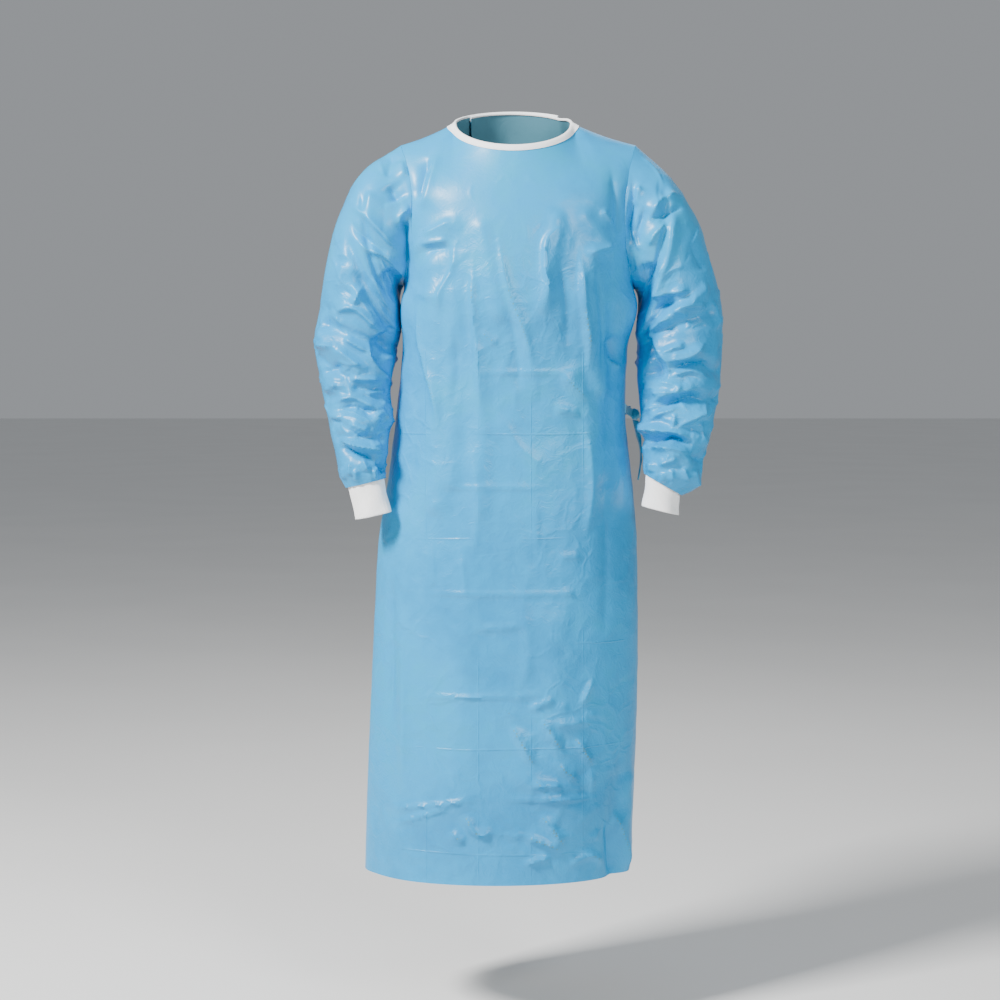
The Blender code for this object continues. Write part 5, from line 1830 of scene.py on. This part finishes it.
@dataclass
class NeckBinding:
    """Tape folded over the whole neck edge, in one length that laps behind."""

    form: BodyForm
    pieces: dict[str, Piece]
    width: float = 0.0090
    inside: float = 0.0018
    tape: float = 0.0009
    gap: float = 0.0004
    relief: float = 0.0006
    cloth: float = 0.0007
    reach: float = 0.012

    def tree(self, names: Sequence[str]) -> BVHTree:
        """The outsides of some pieces near the neck, to find the cloth under a place.

        Args:
            names: The pieces' nodes.

        Returns:
            Their faces in a search tree.
        """
        points: list[Vector] = []
        faces: list[list[int]] = []
        for name in names:
            grid = self.pieces[name][0][-30:]
            rows, columns = grid.shape[:2]
            start = len(points)
            points += [Vector(point) for point in grid.reshape(-1, 3)]
            index = start + np.arange(rows * columns).reshape(rows, columns)
            quads = np.stack([index[:-1, :-1], index[:-1, 1:], index[1:, 1:], index[1:, :-1]], axis=-1)
            faces += quads.reshape(-1, 4).tolist()
        return BVHTree.FromPolygons(points, faces)

    def on_cloth(self, tree: BVHTree, place: Array, normal: Array) -> Array:
        """The cloth's outside over or under a place, along the normal."""
        hit = tree.ray_cast(Vector(place + normal * self.reach), Vector(-normal), 2 * self.reach)[0]
        return np.array(hit if hit is not None else tree.find_nearest(Vector(place))[0])

    def run(self) -> tuple[Array, Array, list[BVHTree], list[int]]:
        """The neck edge, its normals, the cloth under each place and where the seams cross.

        Returns:
            Points, normals, a search tree for each point, and the points at the seams.
        """
        form = self.form
        front_u, back_u = form.front_columns(), form.back_columns()
        inner = np.flatnonzero(-back_u[::-1] <= form.neck_share + 1e-6)
        ahead = np.flatnonzero(np.abs(front_u) < form.neck_share - 1e-6)[::-1]
        outer = np.flatnonzero(back_u >= -form.neck_share - 1e-6)
        picks = (
            ("back_inner", inner, ("back_inner", "front")),
            ("front", ahead, ("front", "back_inner", "back_outer")),
            ("back_outer", outer, ("back_outer", "front")),
        )
        edge = np.concatenate([self.pieces[name][0][-1, columns] for name, columns, _ in picks])
        normal = np.concatenate([self.pieces[name][1][-1, columns] for name, columns, _ in picks])
        trees: list[BVHTree] = []
        seams: list[int] = []
        for _, columns, names in picks:
            seams.append(len(trees))
            trees += [self.tree(names)] * len(columns)
        return edge, unit(normal), trees, seams[1:]

    def sections(self) -> Array:
        """Sections of the tape round the neck.

        Returns:
            Points by section, and round each.
        """
        edge, normal, trees, seams = self.run()
        along = unit(np.gradient(edge, axis=0))
        for _ in range(24):
            normal[1:-1] = (normal[:-2] + 2 * normal[1:-1] + normal[2:]) / 4
        normal = unit(normal - along * (normal * along).sum(axis=1, keepdims=True))
        down = np.cross(normal, along)
        run = np.concatenate([[0], np.cumsum(np.linalg.norm(np.diff(edge, axis=0), axis=1))])
        made = []
        for i in range(len(edge)):
            n, d, place = normal[i], down[i], edge[i]
            from_seam = min(abs(run[i] - run[seam]) for seam in seams)
            near = self.gap + self.relief * math.exp(-((from_seam / 0.025) ** 2))
            # Each stitch draws the tape in a little between its soft edges
            puff = 0.00018 * (1 + math.sin(run[i] * 2 * math.pi / 0.0061)) * 0.5
            far = near + self.tape
            spots = [self.on_cloth(trees[i], place + d * self.width * s, n) for s in (1.0, 0.8, 0.55, 0.25)]
            inside = [self.on_cloth(trees[i], place + d * self.inside * s, n) for s in (1.0, 0.5)]
            wall = self.cloth
            fold = far + 0.0004
            made.append(
                [
                    spots[0] + n * near,
                    spots[0] + n * (far - 0.0003),
                    spots[1] + n * (far - 0.0002),
                    spots[2] + n * (far + 0.0002 + puff),
                    spots[3] + n * (far + 0.0002 + puff),
                    place - d * fold * 0.7 + n * far * 0.8,
                    place - d * fold - n * wall * 0.5,
                    place - d * fold * 0.7 - n * (wall + far * 0.8),
                    inside[1] - n * (wall + far),
                    inside[0] - n * (wall + far - 0.0002),
                    inside[0] - n * (wall + near),
                    inside[1] - n * (wall + near),
                    place - d * near - n * (wall + near * 0.7),
                    place - d * near * 1.2 - n * wall * 0.5,
                    place - d * near + n * near * 0.7,
                    spots[3] + n * near,
                    spots[2] + n * near,
                    spots[1] + n * near,
                ]
            )
        return np.array(made)

    def build(self, material: Material) -> bpy.types.Object:
        """Makes the tape.

        Args:
            material: Its finish.

        Returns:
            The object.
        """
        under = ("front", "back_outer", "back_inner")
        facts = SheetFacts("neck_binding", "binding_tape", 0.0150, 0.560, 0.0084, "folded", under)
        across = np.array([0.0, 0.0008, 0.0022, 0.0044, 0.0070, 0.0096, 0.0106, 0.0116, 0.0138, 0.0152])
        across = np.concatenate([across, across[:8][::-1]])
        return Loft(facts, self.sections(), across).build(material)


@dataclass(frozen=True)
class TieRow:
    """A place on a tie's back, which way it faces and how much it cups."""

    place: Triple
    across: Triple
    cup: float = 0.0


@dataclass
class Tie:
    """A flat tie along a route, cupped and rippled where it hangs free."""

    facts: SheetFacts
    rows: Sequence[TieRow]
    outward: int
    steps: int = 72
    width: float = 0.014
    cloth: float = 0.0011
    across: int = 8
    ripple: float = 0.0

    def sections(self) -> Array:
        """Sections along the tie.

        Returns:
            Points by section, and round each.
        """
        places = np.array([row.place for row in self.rows])
        run = np.concatenate([[0], np.cumsum(np.linalg.norm(np.diff(places, axis=0), axis=1))])
        at = np.linspace(0, run[-1], self.steps)
        path = through(run, places, at)
        along = unit(np.gradient(path, axis=0))
        across = through(run, [row.across for row in self.rows], at)
        across = unit(across - along * (across * along).sum(axis=1, keepdims=True))
        out = np.cross(along, across) * self.outward
        cup = np.interp(at, run, [row.cup for row in self.rows])
        s = np.linspace(-0.5, 0.5, self.across + 1)
        made = []
        for p, a, o, c, t in zip(path, across, out, cup, at):
            wave = self.ripple * (math.sin(t / 0.0062) + 0.6 * math.sin(t / 0.0031 + 1)) * 0.5
            lift = c * (1 - (2 * s) ** 2) + wave * (2 * s) ** 2 * np.sign(s)
            low = p + np.outer(s * self.width, a) + np.outer(lift, o)
            edge = self.cloth * (0.62 + 0.38 * (1 - np.abs(2 * s) ** 6))
            high = low + np.outer(edge, o)
            made.append(np.concatenate([low, high[::-1]]))
        return np.array(made)

    def build(self, material: Material) -> bpy.types.Object:
        """Makes the tie."""
        s = np.linspace(0, self.width, self.across + 1)
        return Loft(self.facts, self.sections(), np.concatenate([s, s[::-1]])).build(material)


@dataclass
class WaistTies:
    """The long and the short tie, knotted at the wearer's left side."""

    knot_at: Triple = (0.1970, 0.0450, -0.4620)
    knot_size: Triple = (0.0080, 0.0085, 0.0100)

    def ties(self) -> list[Tie]:
        """The four stretches of tie.

        Returns:
            The long and the short one to the knot, then their ends.
        """
        up = (0.0, 0.0, 1.0)
        strap = [TieRow((x, y, -0.456), up) for x, y in (
            (0.0514, 0.1154), (0.0712, 0.1093), (0.0911, 0.1033), (0.1109, 0.0972), (0.1268, 0.0923),
            (0.1351, 0.0898), (0.1420, 0.0848), (0.1567, 0.0742), (0.1735, 0.0620), (0.1903, 0.0499),
        )]
        short = [
            TieRow((0.1774, -0.0180, -0.4500), (0.008, 0.092, 0.996)),
            TieRow((0.1783, -0.0062, -0.4511), (0.008, 0.095, 0.995)),
            TieRow((0.1799, 0.0055, -0.4525), (0.029, 0.151, 0.988)),
            TieRow((0.1826, 0.0169, -0.4546), (0.056, 0.190, 0.980), 0.0004),
            TieRow((0.1867, 0.0277, -0.4572), (0.103, 0.222, 0.970), 0.0008),
            TieRow((0.1918, 0.0381, -0.4603), (0.112, 0.227, 0.967), 0.0),
        ]
        long_end = [
            TieRow((0.2045, 0.0498, -0.4641), (0.598, -0.791, -0.131), 0.0),
            TieRow((0.2136, 0.0590, -0.4783), (0.513, -0.841, -0.173), 0.0012),
            TieRow((0.2202, 0.0648, -0.4947), (0.255, -0.959, -0.125), 0.0018),
            TieRow((0.2239, 0.0670, -0.5136), (0.107, -0.992, -0.062), 0.0014),
            TieRow((0.2268, 0.0684, -0.5325), (0.011, -0.999, -0.050), 0.0010),
            TieRow((0.2289, 0.0688, -0.5515), (-0.102, -0.995, -0.013), 0.0016),
            TieRow((0.2295, 0.0687, -0.5705), (-0.199, -0.980, 0.023), 0.0020),
            TieRow((0.2275, 0.0678, -0.5991), (-0.273, -0.961, 0.052), 0.0010),
        ]
        short_end = [
            TieRow((0.1982, 0.0473, -0.4718), (0.713, -0.690, -0.128), 0.0),
            TieRow((0.2009, 0.0524, -0.4840), (0.635, -0.756, -0.158), 0.0010),
            TieRow((0.2036, 0.0564, -0.4965), (0.492, -0.865, -0.097), 0.0016),
            TieRow((0.2065, 0.0587, -0.5095), (0.319, -0.947, -0.050), 0.0012),
            TieRow((0.2082, 0.0594, -0.5227), (0.150, -0.988, 0.036), 0.0010),
            TieRow((0.2086, 0.0583, -0.5362), (0.043, -0.994, 0.103), 0.0014),
            TieRow((0.2065, 0.0565, -0.5561), (-0.081, -0.992, 0.099), 0.0018),
            TieRow((0.2037, 0.0553, -0.5693), (-0.123, -0.986, 0.109), 0.0010),
        ]
        backs = ("back_outer", "back_inner")
        long_facts = SheetFacts("tie_long", "tie_cloth", 0.014, 0.155, 0.00217, "stretched", backs)
        sides = ("back_inner", "front")
        short_facts = SheetFacts("tie_short", "tie_cloth", 0.014, 0.060, 0.00084, "stretched", sides)
        knot = ("tie_knot",)
        long_end_facts = SheetFacts("tie_long_end", "tie_cloth", 0.014, 0.142, 0.00198, "hung", knot)
        short_end_facts = SheetFacts("tie_short_end", "tie_cloth", 0.014, 0.104, 0.00145, "hung", knot)
        return [
            Tie(long_facts, strap, 1),
            Tie(short_facts, short, 1),
            Tie(long_end_facts, long_end, 1, ripple=0.0008),
            Tie(short_end_facts, short_end, 1, ripple=0.0007),
        ]

    def knot(self, material: Material) -> bpy.types.Object:
        """A small tight knot, with the turns of the tie as grooves over it.

        Args:
            material: Its finish.

        Returns:
            The object.
        """
        bpy.ops.object.select_all(action="DESELECT")
        bpy.ops.mesh.primitive_uv_sphere_add(segments=64, ring_count=36, radius=1.0, location=(0, 0, 0))
        made = bpy.context.object
        count = len(made.data.vertices)
        flat = np.empty(count * 3, np.float32)
        made.data.vertices.foreach_get("co", flat)
        ball = unit(flat.reshape(-1, 3).astype(float))
        turn = ball @ unit(np.array([0.55, 0.25, 0.80]))
        second = ball @ unit(np.array([0.75, -0.30, -0.60]))
        over = np.clip(1 - np.abs(second) * 2.2, 0, 1)
        grooves = 0.07 * np.cos(turn * 11) + 0.10 * over * np.cos(second * 9)
        pleats = 0.025 * np.cos(turn * 34 + 2 * np.sin(4 * second))
        shaped = ball * (0.93 + grooves * 0.45 + pleats)[:, None]
        shaped = shaped / np.maximum(np.linalg.norm(shaped, axis=1, keepdims=True) / 0.995, 1)
        shaped = shaped * np.array(self.knot_size) + np.array(self.knot_at)
        made.data.vertices.foreach_set("co", shaped.astype(np.float32).ravel())
        made.data.shade_smooth()
        made.name = "tie_knot_cloth"
        made.data.materials.clear()
        made.data.materials.append(material)
        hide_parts("tie_knot")
        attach(made, "root")
        return made

    def build(self, material: Material) -> None:
        """Makes the ties and the knot."""
        for tie in self.ties():
            tie.build(material)
        self.knot(material)


@dataclass(frozen=True)
class SoftLight:
    """A square soft light that points at the gown."""

    name: str
    place: Triple
    size: float
    watts: float
    colour: Triple = (1.0, 1.0, 1.0)

    def make(self, target: Vector) -> None:
        """Adds the light.

        Args:
            target: Where it points.
        """
        data = bpy.data.lights.new(self.name, "AREA")
        data.shape = "SQUARE"
        data.size = self.size
        data.energy = self.watts
        data.color = self.colour
        lamp = bpy.data.objects.new(self.name, data)
        lamp.location = self.place
        lamp.rotation_euler = (target - Vector(self.place)).to_track_quat("-Z", "Y").to_euler()
        bpy.context.scene.collection.objects.link(lamp)


@dataclass
class Studio:
    """Camera at the photograph's viewing angle, pale floor and soft light."""

    camera_at: Triple = (-0.021, -3.7, -0.35)
    target: Triple = (-0.021, 0.0, -0.598)
    lens: float = 83.44
    floor_z: float = -1.42
    floor_colour: Triple = (0.80, 0.80, 0.79)
    sky_colour: Triple = (0.86, 0.90, 0.95)
    sky_strength: float = 0.36
    lights: tuple[SoftLight, ...] = (
        SoftLight("key", (-2.4, -1.9, 2.0), 0.8, 390.0, (1.0, 0.985, 0.97)),
        SoftLight("fill", (1.7, -3.2, 1.1), 1.2, 75.0, (0.97, 0.99, 1.0)),
        SoftLight("rim", (0.6, 2.4, 1.6), 1.8, 16.0),
    )

    def build(self) -> None:
        """Makes the stage."""
        data = bpy.data.cameras.new("camera")
        data.lens = self.lens
        data.sensor_width = 36.0
        camera = bpy.data.objects.new("camera", data)
        camera.location = self.camera_at
        look = Vector(self.target) - Vector(self.camera_at)
        camera.rotation_euler = look.to_track_quat("-Z", "Y").to_euler()
        bpy.context.scene.collection.objects.link(camera)
        bpy.context.scene.camera = camera
        for light in self.lights:
            light.make(Vector((0.0, 0.0, -0.55)))
        self.floor()
        self.sky()

    def floor(self) -> None:
        """A wide pale floor."""
        bpy.ops.object.select_all(action="DESELECT")
        bpy.ops.mesh.primitive_plane_add(size=60.0, location=(0.0, 0.0, self.floor_z))
        plane = bpy.context.object
        bpy.ops.object.transform_apply(location=True, rotation=True, scale=True)
        plane.name = "floor"
        tree, shader = new_material("pale_floor")
        place = tree.add("ShaderNodeTexCoord").outputs["Object"]
        mottle = tree.noise(place, 1.5, 2.0)
        low = tuple(0.97 * part for part in self.floor_colour)
        colour = tree.ramp(mottle.outputs["Fac"], ((0.3, low), (0.7, self.floor_colour)))
        tree.join(colour.outputs["Color"], shader.inputs["Base Color"])
        shader.inputs["Roughness"].default_value = 0.9
        plane.data.materials.append(tree.material)

    def sky(self) -> None:
        """Even pale light all round."""
        world = bpy.data.worlds.new("studio")
        world.use_nodes = True
        ground = world.node_tree.nodes["Background"]
        ground.inputs["Color"].default_value = (*self.sky_colour, 1.0)
        ground.inputs["Strength"].default_value = self.sky_strength
        bpy.context.scene.world = world


def main() -> None:
    """Builds the gown, piece by piece, and its stage."""
    Studio().build()
    form = BodyForm()
    cloth = GownCloth(form)
    pieces = cloth.build()
    film = CoatedCloth().make()
    sheets = (
        SheetFacts("front", "coated_nonwoven", 0.700, 1.160, 0.635, "hung", ("back_outer", "back_inner")),
        SheetFacts("back_outer", "coated_nonwoven", 0.490, 1.210, 0.440, "hung", ("back_inner", "front")),
        SheetFacts("back_inner", "coated_nonwoven", 0.490, 1.210, 0.440, "hung", ("back_outer", "front")),
        SheetFacts("sleeve_left", "coated_nonwoven", 0.460, 0.560, 0.190, "hung", ("front", "back_inner")),
        SheetFacts("sleeve_right", "coated_nonwoven", 0.450, 0.550, 0.180, "hung", ("front", "back_outer")),
    )
    facts = {sheet.node: sheet for sheet in sheets}
    for name, (points, normals, tube) in pieces.items():
        piece = ClothPiece(facts[name], points, normals, tube)
        piece.declare(piece.make(film))
    NeckBinding(form, pieces).build(BindingTape().make())
    knit = RibKnit().make()
    for side, rows, edge, name in (
        (-1, RIGHT_SLEEVE_ROWS, RIGHT_CUFF_EDGE, "right"),
        (1, LEFT_SLEEVE_ROWS, LEFT_CUFF_EDGE, "left"),
    ):
        sleeve = SleeveForm(side, rows, (), (), ())
        under = ("sleeve_" + name,)
        cuff_facts = SheetFacts("cuff_" + name, "cuff_knit", 0.160, 0.060, 0.0090, "stretched", under)
        Cuff(sleeve, edge, cuff_facts).build(knit)
    WaistTies().build(TieCloth().make())


if __name__ == "__main__":
    main()
